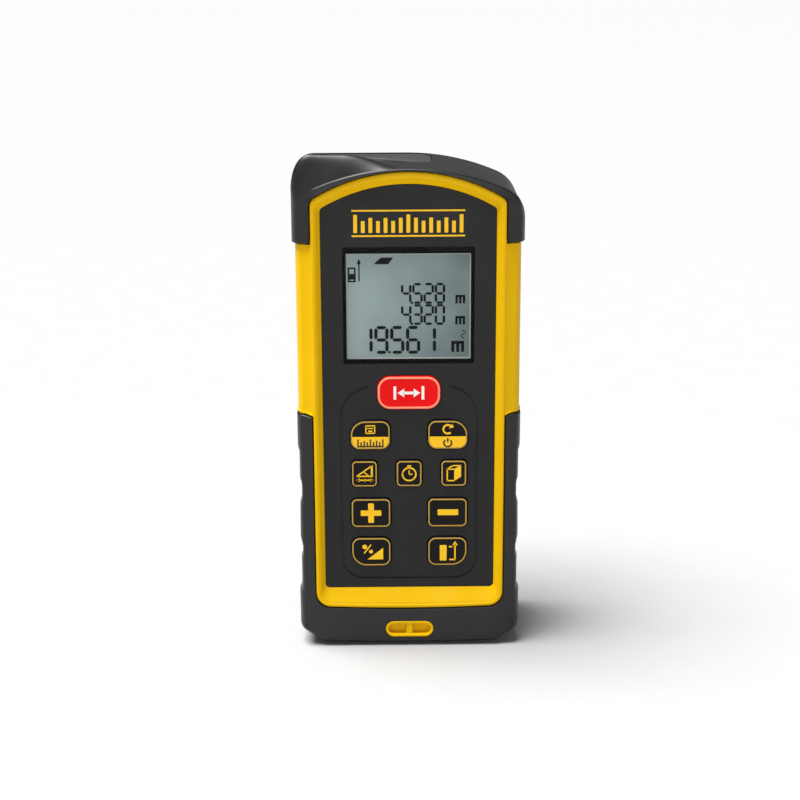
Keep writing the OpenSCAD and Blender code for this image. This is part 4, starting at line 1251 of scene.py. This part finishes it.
@dataclass
class FrontCase:
    """The yellow front half of the case: raised rim, slopes, recess and the faces between the boots."""

    layout: Layout
    envelope: Envelope
    boots: Boots
    crest: float = 0.55
    rim_gap: float = 0.12
    groove: float = 1.05
    rib: float = 0.34
    rib_width: float = 0.3
    wall: float = 2.8
    shelf: float = 1.0
    slope_side: float = 1.45
    slope_foot: float = 4.4
    slope_top: float = 1.5
    sunk: float = 1.4

    def face_outline(self, side: float, foot: float, top: float, foot_r: float, top_r: float,
                     sag: float = 0.0) -> Outline:
        """An outline round the face plate, spread by its own amount on each side.

        Args:
            side: spread at the sides.
            foot: spread at the foot.
            top: spread at the top.
            foot_r: radius of the foot corners.
            top_r: radius of the top corners.
            sag: how far the foot's middle hangs below its ends.

        Returns:
            The outline.
        """
        lay = self.layout
        arch = arch_half(lay.plate_half + side, lay.plate_z0 - foot, lay.plate_top + top,
                         lay.rim_arc_r - 2.9 + top, foot_r, top_r, sag)
        return Outline(lay, arch, slant=lay.grip_fall)

    def rim_rows(self) -> list[Array]:
        """Rows from the floor's middle out over the recess, the slope and the rim. The rim's crest bulges
        by (1 - |2 s - 1| ** 3) ** 0.5 over its width.

        Returns:
            (samples, 3) places for each row.
        """
        y_front, y_plate = self.layout.y_front, self.layout.y_front + self.sunk
        y_shelf = y_plate + self.shelf
        under = self.face_outline(-1.6, -1.6, -1.6, 0.6, 0.6)
        wall = self.face_outline(0.1, 0.1, 0.1, 1.1, 1.1)
        lip = self.face_outline(self.slope_side - 0.15, self.slope_foot - 0.1, self.slope_top - 0.15, 2.9,
                                2.0, 0.4)
        rows = [self.flat(self.spine(under), y_shelf), self.flat(under.points, y_shelf),
                self.flat(wall.points, y_shelf), self.flat(wall.points, y_plate + 0.1)]
        start, end = self.flat(wall.points, y_plate - 0.05), self.flat(lip.points, y_front + 0.12)
        rows += [start + (end - start) * s for s in (0.0, 0.04, 0.3, 0.6, 0.85, 0.97)]
        inner = self.face_outline(self.slope_side + 0.1, self.slope_foot + 0.15, self.slope_top + 0.1, 3.0,
                                  2.1, 0.42).points
        outer = self.envelope.rim.grown(-self.rim_gap)
        across = outer - inner
        for turn in (0.0, 0.1, 0.25, 0.5, 0.75, 0.9, 0.97, 1.0):
            bulge = (1 - abs(2 * turn - 1) ** 3) ** (1 / 2)
            rows.append(self.flat(inner + across * turn, y_front + 0.14 - 0.2 * bulge + 0.12 * turn))
        return rows

    def flat(self, outline: Array, y: float) -> Array:
        """Outline samples laid at depth y."""
        return np.stack([outline[:, 0], np.full(len(outline), y), outline[:, 1]], -1)

    def spine(self, outline: Outline) -> Array:
        """The middle line that the inside of an outline closes on."""
        z = outline.points[:, 1]
        return np.stack([np.zeros(len(z)), np.clip(z, z.min() + 18, z.max() - 22)], -1)

    def skin_rows(self) -> Array:
        """The outer face from the rim to the parting line, sunk under the boots by a short ramp, with a
        rib just above the grips that rises by exp(-(distance / rib_width) ** 2).

        Returns:
            (samples, rows, 3) places.
        """
        heights = self.envelope.front.heights()
        inside = np.maximum(self.layout.grip_z - heights, heights - self.layout.leg_z)
        under = np.clip((inside + 0.12) / 0.2, 0, 1)
        rib = self.rib * np.exp(-(((heights - self.layout.grip_z - 0.5) / self.rib_width) ** 2))
        names = ([(Zone.FACE, s) for s in (0.0, 0.03, 0.12, 0.35, 0.7, 1.0)]
                 + [(Zone.EDGE, i / 8) for i in range(1, 9)])
        open_skin = self.boots.skin(0.0, 0.0, 0.3, 1.6)
        raised = Skin(0.0, rib, open_skin.edge_in, open_skin.edge_deep)
        exposed = self.envelope.sheet(raised, names)
        exposed[:, 1:6, 1] -= rib[:, None]
        sunk = self.envelope.sheet(self.boots.skin(-self.groove, -self.groove, 0.2, 1.6), names)
        rows = exposed + (sunk - exposed) * under[:, None, None]
        start = rows[:, -1, 1]
        level = rib * (1 - under) - self.groove * under
        run = self.layout.y_split - 0.02 - start
        along = [self.envelope.between(level, start + run * i / 18) for i in range(1, 19)]
        return np.concatenate([rows, np.stack(along, 1)], 1)

    def build(self) -> bpy.types.Object:
        """Builds the closed half case and cuts the keys' and the display's openings in its floor.

        Returns:
            The piece.
        """
        front = self.rim_rows()
        skin = self.skin_rows()
        hollow = self.envelope.front.grown(-self.wall)
        y_in = self.layout.y_front + self.sunk + self.shelf + 1.6
        inner = [self.flat(hollow, self.layout.y_split - 0.02), self.flat(hollow, y_in + 2.5),
                 self.flat(self.envelope.front.grown(-self.wall - 1.0), y_in)]
        closing = self.face_outline(-1.6, -1.6, -1.6, 0.6, 0.6)
        inner += [self.flat(closing.points, y_in), self.flat(self.spine(closing), y_in)]
        rows = np.concatenate([np.stack(front, 1), skin, np.stack(inner, 1)], 1)
        made = Islands()
        made.add(rows, grid(rows.shape[0], rows.shape[1], True))
        piece = made.piece("front_case_skin", Look.YELLOW, "case", "yellow_shell", ("front_housing",), 32.0)
        cut = Islands()
        for key in KEYS:
            cut.add(*prism(rounded(key.x, key.z, key.w, key.h, key.radii, 0.25), y_in - 4, y_in + 3))
        low, high = box_mm("lcd_panel")
        window = np.array([[low[0], low[2]], [high[0], low[2]], [high[0], high[2]], [low[0], high[2]]])
        cut.add(*prism(window + np.sign(window - window.mean(0)) * 0.2, y_in - 4, y_in + 3))
        carve(piece, cut, 32.0)
        return piece


# ---------------------------------------------------------------- keys
class Mark(Enum):
    """What is printed on a key."""

    SPAN = 1
    UNITS = 2
    CLEAR = 3
    TRIANGLE = 4
    CLOCK = 5
    CUBE = 6
    PLUS = 7
    MINUS = 8
    SLOPE = 9
    DATUM = 10


@dataclass(frozen=True)
class Key:
    """One key: a rounded cap with a printed outline and a mark."""

    name: str
    x: float
    z: float
    w: float
    h: float
    radii: tuple[float, ...]
    mark: Mark
    two_tone: bool = False
    look: Look = Look.KEY_BLACK
    ring: Look = Look.GOLD_PRINT
    print: Look = Look.ICON_PRINT
    y_flange: float = -11.4
    y_back: float = -10.8
    flange: float = 0.7

    def rows(self, y_top: float) -> list[Pair]:
        """The cap's section as pairs of inset and depth: back, flange, wall, rounded edge, shallow dish.

        Args:
            y_top: depth of the cap's highest ring.

        Returns:
            The pairs, from the back round to the dish.
        """
        return [(-self.flange, self.y_back), (-self.flange, self.y_flange), (0.0, self.y_flange),
                (0.0, y_top + 0.34), (0.03, y_top + 0.2),
                (0.10, y_top + 0.09), (0.2, y_top + 0.02), (0.34, y_top), (0.6, y_top), (0.78, y_top + 0.05),
                (1.05, y_top + 0.06)]

    def build(self) -> bpy.types.Object:
        """Builds the cap, its outline and its mark, all riding on the key.

        Returns:
            The cap.
        """
        low, high = box_mm(self.name)
        y_top = float(low[1])
        rings = [np.insert(rounded(self.x, self.z, self.w, self.h, self.radii, -i, 9), 1, y, axis=1)
                 for i, y in self.rows(y_top)]
        middle = np.array([self.x, y_top + 0.02, self.z])
        last = rings[-1]
        for s in (0.35, 0.7, 1.0):
            ring = last + (middle - last) * s
            ring[:, 1] = y_top + 0.06 - 0.05 * s
            rings.append(ring)
        closing = rings[0].copy()
        closing[:, [0, 2]] = middle[[0, 2]]
        sheet = np.stack([closing] + rings, 1)
        made = Islands()
        made.add(sheet, grid(sheet.shape[0], sheet.shape[1], True))
        made.add(*self.plunger(self.y_back, float(high[1])))
        slot = "key_red" if self.look is Look.KEY_RED else "key_black"
        cap = made.piece(self.name + "_cap", self.look, self.name, slot, (self.name,), 40.0)
        self.outline(y_top)
        self.printing(y_top)
        return cap

    def plunger(self, y0: float, y1: float) -> Body:
        """The round peg that presses the dome switch."""
        return prism(arc(self.x, self.z, 1.5, 0, 352.5, 48), y0 - 0.05, y1)

    def outline(self, y_top: float) -> None:
        """Builds the printed line round the cap: a thin closed band that hugs its rounded edge.

        Args:
            y_top: depth of the cap's highest ring.
        """
        width = 0.36 if self.look is Look.KEY_BLACK else 0.5
        section = [(0.15, y_top + 0.16), (0.16, y_top + 0.06), (0.22, y_top - 0.01), (0.32, y_top - 0.035),
                   (0.14 + width, y_top - 0.03), (0.2 + width, y_top + 0.02), (0.2 + width, y_top + 0.16)]
        rings = [np.insert(rounded(self.x, self.z, self.w, self.h, self.radii, -i, 12), 1, y, axis=1)
                 for i, y in section]
        sheet = np.stack(rings, 1)
        band = Islands()
        band.add(sheet, grid(sheet.shape[0], sheet.shape[1], True, True))
        band.piece(self.name + "_line", self.ring, self.name)

    def lower_half(self, y_top: float) -> Body:
        """The printed lower half of a two-tone key, up to just under its middle.

        Args:
            y_top: depth of the cap's highest ring.

        Returns:
            Its points, both caps and its sides.
        """
        shape = rounded(self.x, self.z, self.w, self.h, self.radii, -0.5, 12)
        shape[:, 1] = np.minimum(shape[:, 1], self.z - 0.45)
        return prism(shape, y_top - 0.005, y_top + 0.2)

    def printing(self, y_top: float) -> None:
        """Builds the key's mark as thin raised print.

        Args:
            y_top: depth of the cap's highest ring.
        """
        if self.two_tone:
            half = Islands()
            half.add(*self.lower_half(y_top))
            half.piece(self.name + "_half", self.print, self.name)
        ink = Islands()
        for shape in self.shapes():
            ink.add(*prism(shape + [self.x, self.z], y_top - 0.03, y_top + 0.2))
        ink.piece(self.name + "_mark", self.print, self.name)
        if self.two_tone:
            dark = Islands()
            for shape in self.foot_shapes():
                dark.add(*prism(shape + [self.x, self.z - 2.1], y_top - 0.03, y_top + 0.2))
            dark.piece(self.name + "_foot_mark", Look.DARK_PRINT, self.name)

    def foot_shapes(self) -> list[Array]:
        """Dark marks on the lower half of a two-tone key: a scale, or an off sign.

        Returns:
            Flat shapes round the half's middle.
        """
        if self.mark is Mark.UNITS:
            tall = (1.9, 1.15, 1.5, 1.15, 1.9, 1.15, 1.5, 1.15, 1.9)
            bars = [stroke((i * 0.8 - 3.2, -0.9), (i * 0.8 - 3.2, -0.9 + h), 0.4) for i, h in enumerate(tall)]
            return bars + [stroke((-3.4, -0.95), (3.4, -0.95), 0.4)]
        return ring_shape(0, -0.1, 1.0, 0.42, 40, 320, turn=90) + [stroke((0, 0.1), (0, 1.25), 0.42)]

    def shapes(self) -> list[Array]:
        """What the key's mark is drawn from.

        Returns:
            Flat shapes round the key's middle.
        """
        tri = np.array
        if self.mark is Mark.SPAN:
            heads = [tri([[-2.9, 0], [-1.2, 1.15], [-1.2, -1.15]]),
                     tri([[2.9, 0], [1.2, -1.15], [1.2, 1.15]])]
            return heads + [stroke((-1.3, 0), (1.3, 0), 0.72), stroke((-3.6, -1.75), (-3.6, 1.75), 0.7),
                            stroke((3.6, -1.75), (3.6, 1.75), 0.7)]
        if self.mark is Mark.UNITS:
            return frame_shape(0, 1.55, 2.3, 2.0, 0.3) + [stroke((-0.8, 1.85), (0.8, 1.85), 0.26),
                                                          stroke((-0.5, 1.1), (0.5, 1.1), 0.4)]
        if self.mark is Mark.CLEAR:
            return ring_shape(0, 1.5, 1.15, 0.5, 50, 310) + [tri([[0.3, 1.75], [1.55, 2.0], [1.2, 2.95]])]
        if self.mark is Mark.TRIANGLE:
            return [stroke((-2.0, -0.6), (1.9, 2.2), 0.34), stroke((-2.1, -0.65), (2.2, -0.65), 0.34),
                    stroke((1.9, 2.3), (1.9, -0.6), 0.5), stroke((-0.2, 0.5), (1.0, -0.45), 0.3),
                    stroke((-2.0, -1.7), (2.2, -1.7), 0.34), tri([[-2.2, -1.7], [-1.3, -1.2], [-1.3, -2.2]]),
                    tri([[2.4, -1.7], [1.5, -2.2], [1.5, -1.2]]), stroke((0.1, -2.1), (0.1, -1.3), 0.34)]
        if self.mark is Mark.CLOCK:
            return ring_shape(0, -0.15, 1.75, 0.38, 0, 360) + [
                stroke((0, -0.2), (0, 0.95), 0.32), stroke((-0.1, -0.15), (0.85, -0.15), 0.32),
                stroke((-0.5, 2.1), (0.5, 2.1), 0.4)]
        if self.mark is Mark.CUBE:
            side = tri([[0.1, -2.1], [1.9, -0.9], [1.9, 2.2], [0.1, 1.2]])
            return [side, stroke((-1.7, -2.0), (-1.7, 1.2), 0.34), stroke((-1.85, 1.15), (0.2, 1.15), 0.34),
                    stroke((-1.85, -2.0), (0.2, -2.0), 0.34), stroke((-1.7, 1.2), (-0.2, 2.15), 0.32),
                    stroke((-0.3, 2.1), (1.9, 2.1), 0.32)]
        if self.mark is Mark.PLUS:
            return [rounded(0, 0, 5.4, 1.5, (0.2,) * 4, n=4), rounded(0, 1.7, 1.5, 1.95, (0.2,) * 4, n=4),
                    rounded(0, -1.7, 1.5, 1.95, (0.2,) * 4, n=4)]
        if self.mark is Mark.MINUS:
            return [rounded(0.1, 0.1, 5.4, 1.6, (0.25,) * 4, n=4)]
        if self.mark is Mark.SLOPE:
            return [tri([[-1.0, -2.1], [3.1, -2.1], [3.1, 1.1]]), stroke((-1.9, -0.4), (-0.1, 2.0), 0.34),
                    arc(-1.75, 1.4, 0.62, 0, 345, 24), arc(-0.1, 0.1, 0.52, 0, 345, 24)]
        return [rounded(-1.1, -0.4, 1.8, 4.3, (0.15,) * 4, n=4), stroke((2.0, -2.3), (2.0, 2.0), 0.4),
                stroke((0.5, -2.3), (2.1, -2.3), 0.4), tri([[1.3, 1.7], [2.7, 1.7], [2.0, 2.9]]),
                stroke((0.4, 1.3), (1.3, 1.3), 0.36)]


def ring_shape(x: float, z: float, r: float, width: float, start: float, end: float, n: int = 28,
               turn: float = 0.0) -> list[Array]:
    """Part of a flat ring as short bars that share their ends.

    Args:
        x: its middle.
        z: its middle.
        r: radius of its middle line.
        width: its width.
        start: first angle in degrees.
        end: last angle in degrees.
        n: number of bars.
        turn: degrees added to both angles.

    Returns:
        The bars, four corners each.
    """
    a = np.radians(np.linspace(start, end, n + 1) + turn)
    inner, outer = r - width / 2, r + width / 2
    ring = np.stack([np.cos(a), np.sin(a)], -1)
    corners = np.stack([ring[:-1] * inner, ring[:-1] * outer, ring[1:] * outer, ring[1:] * inner], 1)
    return list(corners + [x, z])


def frame_shape(x: float, z: float, w: float, h: float, width: float) -> list[Array]:
    """A rectangular frame as four bars.

    Args:
        x: its middle.
        z: its middle.
        w: width between the middles of its bars.
        h: height between the middles of its bars.
        width: the bars' width.

    Returns:
        The bars, four corners each.
    """
    a, b = w / 2, h / 2
    reach = a + width / 2
    flat = [stroke((x - reach, z + s * b), (x + reach, z + s * b), width) for s in (-1, 1)]
    return flat + [stroke((x + s * a, z - b), (x + s * a, z + b), width) for s in (-1, 1)]


KEYS = (
    Key("measure_key", 0, 70.2, 16.3, 8.8, (3.4,) * 4, Mark.SPAN, False, Look.KEY_RED, Look.SALMON_PRINT,
        Look.WHITE_PRINT),
    Key("units_key", -10, 58.9, 10.4, 7.8, (4.6, 2.2, 2.4, 2.4), Mark.UNITS, True),
    Key("clear_key", 10, 58.9, 10.4, 7.8, (2.2, 4.6, 2.4, 2.4), Mark.CLEAR, True),
    Key("triangle_key", -11.6, 48.4, 6.8, 7.2, (1.3,) * 4, Mark.TRIANGLE),
    Key("timer_key", 0, 48.4, 6.8, 7.2, (1.3,) * 4, Mark.CLOCK),
    Key("volume_key", 11.6, 48.4, 6.8, 7.2, (1.3,) * 4, Mark.CUBE),
    Key("plus_key", -10, 37.6, 10.4, 8.0, (1.5,) * 4, Mark.PLUS),
    Key("minus_key", 10, 37.6, 10.4, 8.0, (1.5,) * 4, Mark.MINUS),
    Key("slope_key", -10, 26.8, 10.4, 8.0, (2.2, 2.2, 2.2, 4.6), Mark.SLOPE),
    Key("reference_key", 10, 26.8, 10.4, 8.0, (2.2, 2.2, 4.6, 2.2), Mark.DATUM),
)


# ---------------------------------------------------------------- display and face
Reading = tuple[str, float, float, float, float, float]


@dataclass
class Display:
    """The readings on the display, its light edge, and the generic scale printed above it."""

    stroke_share: float = 0.13
    edge: float = 0.28
    # The readings: figures, foot, right edge, height, width and pitch of their digits.
    lines: tuple[Reading, ...] = (
        ("4528", 93.4, 9.0, 4.8, 2.05, 2.85), ("4320", 87.9, 9.0, 4.8, 2.05, 2.85),
        ("19561", 80.45, 6.6, 6.5, 2.8, 4.05))
    # Which of the seven bars each digit lights: top, upper left, upper right, middle, lower left,
    # lower right, bottom.
    bars: dict[str, str] = field(default_factory=lambda: {
        "0": "1110111", "1": "0010010", "2": "1011101", "3": "1011011", "4": "0111010", "5": "1101011",
        "6": "1101111", "7": "1010010", "8": "1111111", "9": "1111011"})

    def digit(self, figure: str, x: float, z: float, w: float, h: float,
              t: float | None = None) -> list[Array]:
        """The lit bars of one figure, each a slim hexagon.

        Args:
            figure: the figure.
            x: left edge of its cell.
            z: foot of its cell.
            w: the cell's width.
            h: the cell's height.
            t: the bars' width, or a share of the height if left out.

        Returns:
            The bars, six corners each.
        """
        half, t = h / 2, t or h * self.stroke_share
        ends = [((0, h), (w, h)), ((0, half), (0, h)), ((w, half), (w, h)), ((0, half), (w, half)),
                ((0, 0), (0, half)), ((w, 0), (w, half)), ((0, 0), (w, 0))]
        lit = [pair for pair, on in zip(ends, self.bars[figure]) if on == "1"]
        shapes = []
        for a, b in lit:
            p, q = np.array(a) + [x, z], np.array(b) + [x, z]
            along = (q - p) / np.linalg.norm(q - p)
            side = np.array([-along[1], along[0]]) * t / 2
            p, q = p + along * 0.12, q - along * 0.12
            tip = along * t / 2
            shapes.append(np.stack([p, p + tip - side, q - tip - side, q, q - tip + side, p + tip + side]))
        return shapes

    def unit_mark(self, x: float, z: float, w: float, h: float) -> list[Array]:
        """The sign of the metre: three uprights under one bar.

        Args:
            x: left edge.
            z: foot.
            w: width.
            h: height.

        Returns:
            The bars, four corners each.
        """
        t = w * 0.24
        uprights = [x + t / 2, x + w / 2, x + w - t / 2]
        return [stroke((at, z), (at, z + h), t) for at in uprights] + [stroke((x, z + h), (x + w, z + h), t)]

    def build(self) -> None:
        """Builds the segments, the signs and the light edge in front of the panel."""
        low, _ = box_mm("lcd_panel")
        y = float(low[1]) - 0.02
        ink = Islands()
        shapes: list[Array] = []
        for figures, z, right, h, w, pitch in self.lines:
            for i, figure in enumerate(reversed(figures)):
                shapes += self.digit(figure, right - w - i * pitch, z, w, h)
            shapes.append(rounded(right - w - 2 * pitch - (pitch - w) / 2, z, 0.6, 0.6, (0.1,) * 4, n=3))
            shapes += self.unit_mark(11.9, z - 0.25, 2.5, 1.9) if h < 5 else self.unit_mark(10.9, z, 3.3, 2.5)
        shapes += self.digit("2", 13.5, 84.2, 0.9, 1.8, 0.3)
        shapes += frame_shape(-14.35, 100.7, 1.6, 3.4, 0.42) + [
            rounded(-14.35, 100.2, 1.2, 1.5, (0.1,) * 4, n=3), stroke((-12.5, 99.0), (-12.5, 103.9), 0.34),
            np.array([[-13.0, 103.5], [-12.0, 103.5], [-12.5, 104.9]])]
        shapes.append(np.array([[-8.8, 103.4], [-5.1, 103.4], [-3.8, 105.1], [-7.0, 105.1]]))
        for shape in shapes:
            ink.add(*prism(shape, y, y + 0.12))
        ink.piece("display_segments", Look.SEGMENT, "case", sharp=20)
        band = Islands()
        section = [(-0.02, y + 0.1), (-0.02, y - 0.25), (self.edge, y - 0.1), (self.edge, y + 0.1)]
        rings = [np.insert(rounded(0, 92.5, 31.6, 27.4, (0.2,) * 4, -i, 4), 1, d, axis=1) for i, d in section]
        sheet = np.stack(rings, 1)
        band.add(sheet, grid(sheet.shape[0], sheet.shape[1], True, True))
        band.piece("display_edge", Look.LCD_EDGE, "case", sharp=30)
        self.scale()

    def scale(self) -> None:
        """A plain measuring scale between two thin rules, printed on the face plate above the display."""
        low, _ = box_mm("face_plate")
        y = float(low[1])
        shapes = [stroke((-14.2, 117.3), (14.2, 117.3), 0.42), stroke((-14.2, 110.9), (14.2, 110.9), 0.42)]
        for i in range(15):
            tall = 4.6 if i % 7 == 0 else 3.0 if i % 2 else 3.8
            x = -13.3 + i * 1.9
            shapes.append(rounded(x, 111.7 + tall / 2, 0.95, tall, (0.12,) * 4, n=3))
        ink = Islands()
        for shape in shapes:
            ink.add(*prism(shape, y - 0.03, y + 0.1))
        ink.piece("face_scale", Look.ICON_PRINT, "case", sharp=30)


@dataclass
class LanyardEye:
    """The yellow eye near the foot: a rounded slot with an upright bar across it."""

    w: float = 12.7
    h: float = 4.5
    rim: float = 0.78
    bar: float = 1.8

    def build(self) -> None:
        """Builds the cup by carrying its section round the slot, and the bar as a rounded post."""
        low, high = box_mm("lanyard_anchor")
        z = float(low[2] + high[2]) / 2
        y0, y1 = float(low[1]) - 0.25, float(high[1])
        section = [(0.0, y1), (0.0, y0 + 0.3), (0.06, y0 + 0.12), (0.2, y0 + 0.02), (0.38, y0),
                   (0.58, y0 + 0.03), (0.72, y0 + 0.14), (self.rim, y0 + 0.35), (self.rim + 0.05, y1 - 1.1),
                   (self.rim + 0.3, y1 - 0.85)]
        radii = (self.h / 2 - 0.01,) * 4
        rings = [np.insert(rounded(0, z, self.w, self.h, radii, -i, 18), 1, d, axis=1) for i, d in section]
        middle = rings[-1].copy()
        middle[:, 2] = z
        middle[:, 0] = np.clip(middle[:, 0], -self.w / 2 + self.h / 2, self.w / 2 - self.h / 2)
        back = middle.copy()
        back[:, 1] = y1
        sheet = np.stack([back] + rings + [middle], 1)
        made = Islands()
        made.add(sheet, grid(sheet.shape[0], sheet.shape[1], True))
        half = self.h / 2 - 0.35
        post = [(0.0, y1 - 0.9), (0.0, y0 + 0.7), (0.12, y0 + 0.42), (0.4, y0 + 0.3), (0.88, y0 + 0.28)]
        rings = [np.insert(rounded(0, z, self.bar, 2 * half, (0.15,) * 4, -min(i, 0.5), 6), 1, d, axis=1)
                 for i, d in post]
        rings = [np.stack([r[:, 0], r[:, 1], np.where(r[:, 2] > z, z + half, z - half)], -1) for r in rings]
        cap = rings[-1].copy()
        cap[:, 0] = 0
        foot = rings[0].copy()
        foot[:, 0] = 0
        sheet = np.stack([foot] + rings + [cap], 1)
        made.add(sheet, grid(sheet.shape[0], sheet.shape[1], True))
        made.piece("lanyard_eye", Look.YELLOW, "case", "yellow_shell", ("lanyard_anchor",), 40.0)


# ---------------------------------------------------------------- carried-over pieces
@dataclass
class Carried:
    """CAD nodes that stay as they are, with a finish and, where they show, eased edges."""

    looks: dict[str, Look] = field(default_factory=lambda: {
        "rear_housing": Look.YELLOW, "housing_seal": Look.SEAL, "face_plate": Look.PLATE,
        "display_window": Look.GLASS, "display_frame": Look.FRAME, "lcd_panel": Look.CRYSTAL,
        "backlight": Look.GUIDE, "key_mat": Look.SILICONE, "dome_switches": Look.CONTACT,
        "main_board": Look.BOARD, "processor": Look.CHIP, "buzzer": Look.CHIP, "tilt_sensor": Look.CHIP,
        "shield_can": Look.STEEL, "display_ribbon": Look.FILM, "optics_chassis": Look.CHASSIS,
        "laser_barrel": Look.BRASS, "laser_diode": Look.STEEL, "collimator_lens": Look.LENS,
        "receiver_lens": Look.LENS, "lens_ring": Look.CHASSIS, "receiver_sensor": Look.CHIP,
        "receiver_board": Look.BOARD, "optics_ribbon": Look.FILM,
        "window_gasket": Look.SEAL, "battery_tray": Look.CHASSIS, "left_cell": Look.CELL,
        "right_cell": Look.CELL, "cell_springs": Look.CONTACT, "cell_contacts": Look.CONTACT,
        "contact_bridge": Look.CONTACT, "battery_door": Look.PLATE, "door_gasket": Look.SEAL,
        "end_bracket": Look.PLATE, "bracket_pin": Look.STEEL, "detent_spring": Look.STEEL,
        "tripod_insert": Look.BRASS, "case_screws": Look.STEEL, "board_screws": Look.STEEL,
        "optics_screws": Look.STEEL, "rating_plate": Look.LABEL})
    eased: dict[str, float] = field(default_factory=lambda: {
        "rear_housing": 0.22, "face_plate": 0.1, "battery_door": 0.3, "end_bracket": 0.35,
        "display_frame": 0.05, "display_window": 0.08, "battery_tray": 0.15, "optics_chassis": 0.15,
        "case_screws": 0.1, "tripod_insert": 0.12, "lens_ring": 0.1, "main_board": 0.05,
        "rating_plate": 0.05, "laser_barrel": 0.1, "shield_can": 0.15, "processor": 0.05})

    def build(self) -> None:
        """Gives every carried-over node its finish and eases the edges of those that show."""
        for name, look in self.looks.items():
            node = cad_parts[name]
            node.data.materials.clear()
            node.data.materials.append(WARDROBE.get(look))
            if name in self.eased:
                step = node.modifiers.new("eased", "BEVEL")
                step.width, step.segments = self.eased[name] * MM, 2
                step.limit_method, step.angle_limit = "ANGLE", math.radians(40)
                step.harden_normals = False
                step.use_clamp_overlap = True
            LOG.info("%s: carried over", name)


# ---------------------------------------------------------------- room, light and camera
@dataclass
class Studio:
    """A pale floor, soft lights and the camera."""

    distance: float = 447.0
    elevation: float = 16.0
    azimuth: float = -0.5
    roll: float = -0.26
    target: tuple[float, float, float] = (-2.3, -15.5, 68.57)
    lens: float = 78.5
    floor_half: float = 40.0
    key_from: tuple[float, float, float] = (-0.58, -0.12, 1.85)
    key_spread: float = 40.0
    key_power: float = 6.5
    strip_at: tuple[float, float, float] = (-10, -1130, 235)
    strip_size: float = 150
    strip_power: float = 1.5
    ambient: float = 0.22
    lamps_face: float = 0.064

    def build(self) -> None:
        """Makes the floor, the lights and the camera."""
        low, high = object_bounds()
        self.floor(low.z)
        self.sun("key_light", self.key_from, self.key_spread, self.key_power)
        self.lamp("strip_light", self.strip_at, self.strip_size, self.strip_power)
        world = bpy.context.scene.world or bpy.data.worlds.new("studio")
        bpy.context.scene.world = world
        world.use_nodes = True
        background = world.node_tree.nodes["Background"]
        background.inputs["Color"].default_value = (1, 1, 1, 1)
        background.inputs["Strength"].default_value = self.ambient
        bpy.context.scene.view_settings.view_transform = "Standard"
        self.camera()

    def floor(self, z: float) -> None:
        """Lays a plain pale floor, gently grained, that runs far past the picture's edges.

        Args:
            z: its height in metres.
        """
        mesh, far = bpy.data.meshes.new("floor"), self.floor_half
        mesh.from_pydata([(-far, -far, z), (far, -far, z), (far, far, z), (-far, far, z)], [], [(0, 1, 2, 3)])
        floor = bpy.data.objects.new("floor", mesh)
        bpy.context.scene.collection.objects.link(floor)
        paint = Moulded(tone(180, 180, 180), roughness=0.8, grain=2.0, grain_depth=0.002, drift=0.01, wear=0.0,
                        specular=0.1)
        mesh.materials.append(paint.build("floor"))
        floor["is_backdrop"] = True

    def lamp(self, name: str, place: tuple[float, float, float], size: float, power: float) -> None:
        """Sets up a square soft light that faces the object.

        Args:
            name: its name.
            place: its place in millimetres.
            size: its width in millimetres.
            power: its power in watts.
        """
        data = bpy.data.lights.new(name, "AREA")
        data.size, data.energy = size * MM, power
        lamp = bpy.data.objects.new(name, data)
        bpy.context.scene.collection.objects.link(lamp)
        lamp.location = Vector(place) * MM
        ahead = Vector((0, 0, self.lamps_face)) - lamp.location
        lamp.rotation_euler = ahead.to_track_quat("-Z", "Y").to_euler()
        lamp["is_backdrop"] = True

    def sun(self, name: str, place: tuple[float, float, float], spread: float, power: float) -> None:
        """Sets up an even light.

        Args:
            name: its name.
            place: a place in the direction that it comes from.
            spread: how many degrees it is softened over.
            power: its strength.
        """
        data = bpy.data.lights.new(name, "SUN")
        data.angle, data.energy = math.radians(spread), power
        lamp = bpy.data.objects.new(name, data)
        bpy.context.scene.collection.objects.link(lamp)
        lamp.rotation_euler = (-Vector(place)).to_track_quat("-Z", "Y").to_euler()
        lamp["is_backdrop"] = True

    def camera(self) -> None:
        """The camera, turned about the target by azimuth and elevation and rolled a little."""
        data = bpy.data.cameras.new("camera")
        data.sensor_width, data.lens = 36.0, self.lens
        data.clip_start, data.clip_end = 0.01, 90.0
        camera = bpy.data.objects.new("camera", data)
        bpy.context.scene.collection.objects.link(camera)
        a, e = math.radians(self.azimuth), math.radians(self.elevation)
        back = Vector((math.sin(a) * math.cos(e), -math.cos(a) * math.cos(e), math.sin(e)))
        camera.location = (Vector(self.target) + back * self.distance) * MM
        turn = (-back).to_track_quat("-Z", "Y").to_matrix().to_4x4()
        roll = Matrix.Rotation(math.radians(self.roll), 4, "Z")
        camera.rotation_euler = (turn @ roll).to_euler()
        bpy.context.scene.camera = camera


def main() -> None:
    """Builds every sub-assembly in order; the layout and each piece are logged."""
    logging.basicConfig(level=logging.INFO, format="%(name)s %(message)s")
    layout = Layout.from_frame()
    LOG.info("layout %s", layout)
    envelope = Envelope(layout)
    boots = Boots(layout, envelope)
    FrontCase(layout, envelope, boots).build()
    boots.upper()
    boots.lower()
    boots.window()
    for key in KEYS:
        key.build()
    Display().build()
    LanyardEye().build()
    Carried().build()
    Studio().build()


if __name__ == "__main__":
    main()
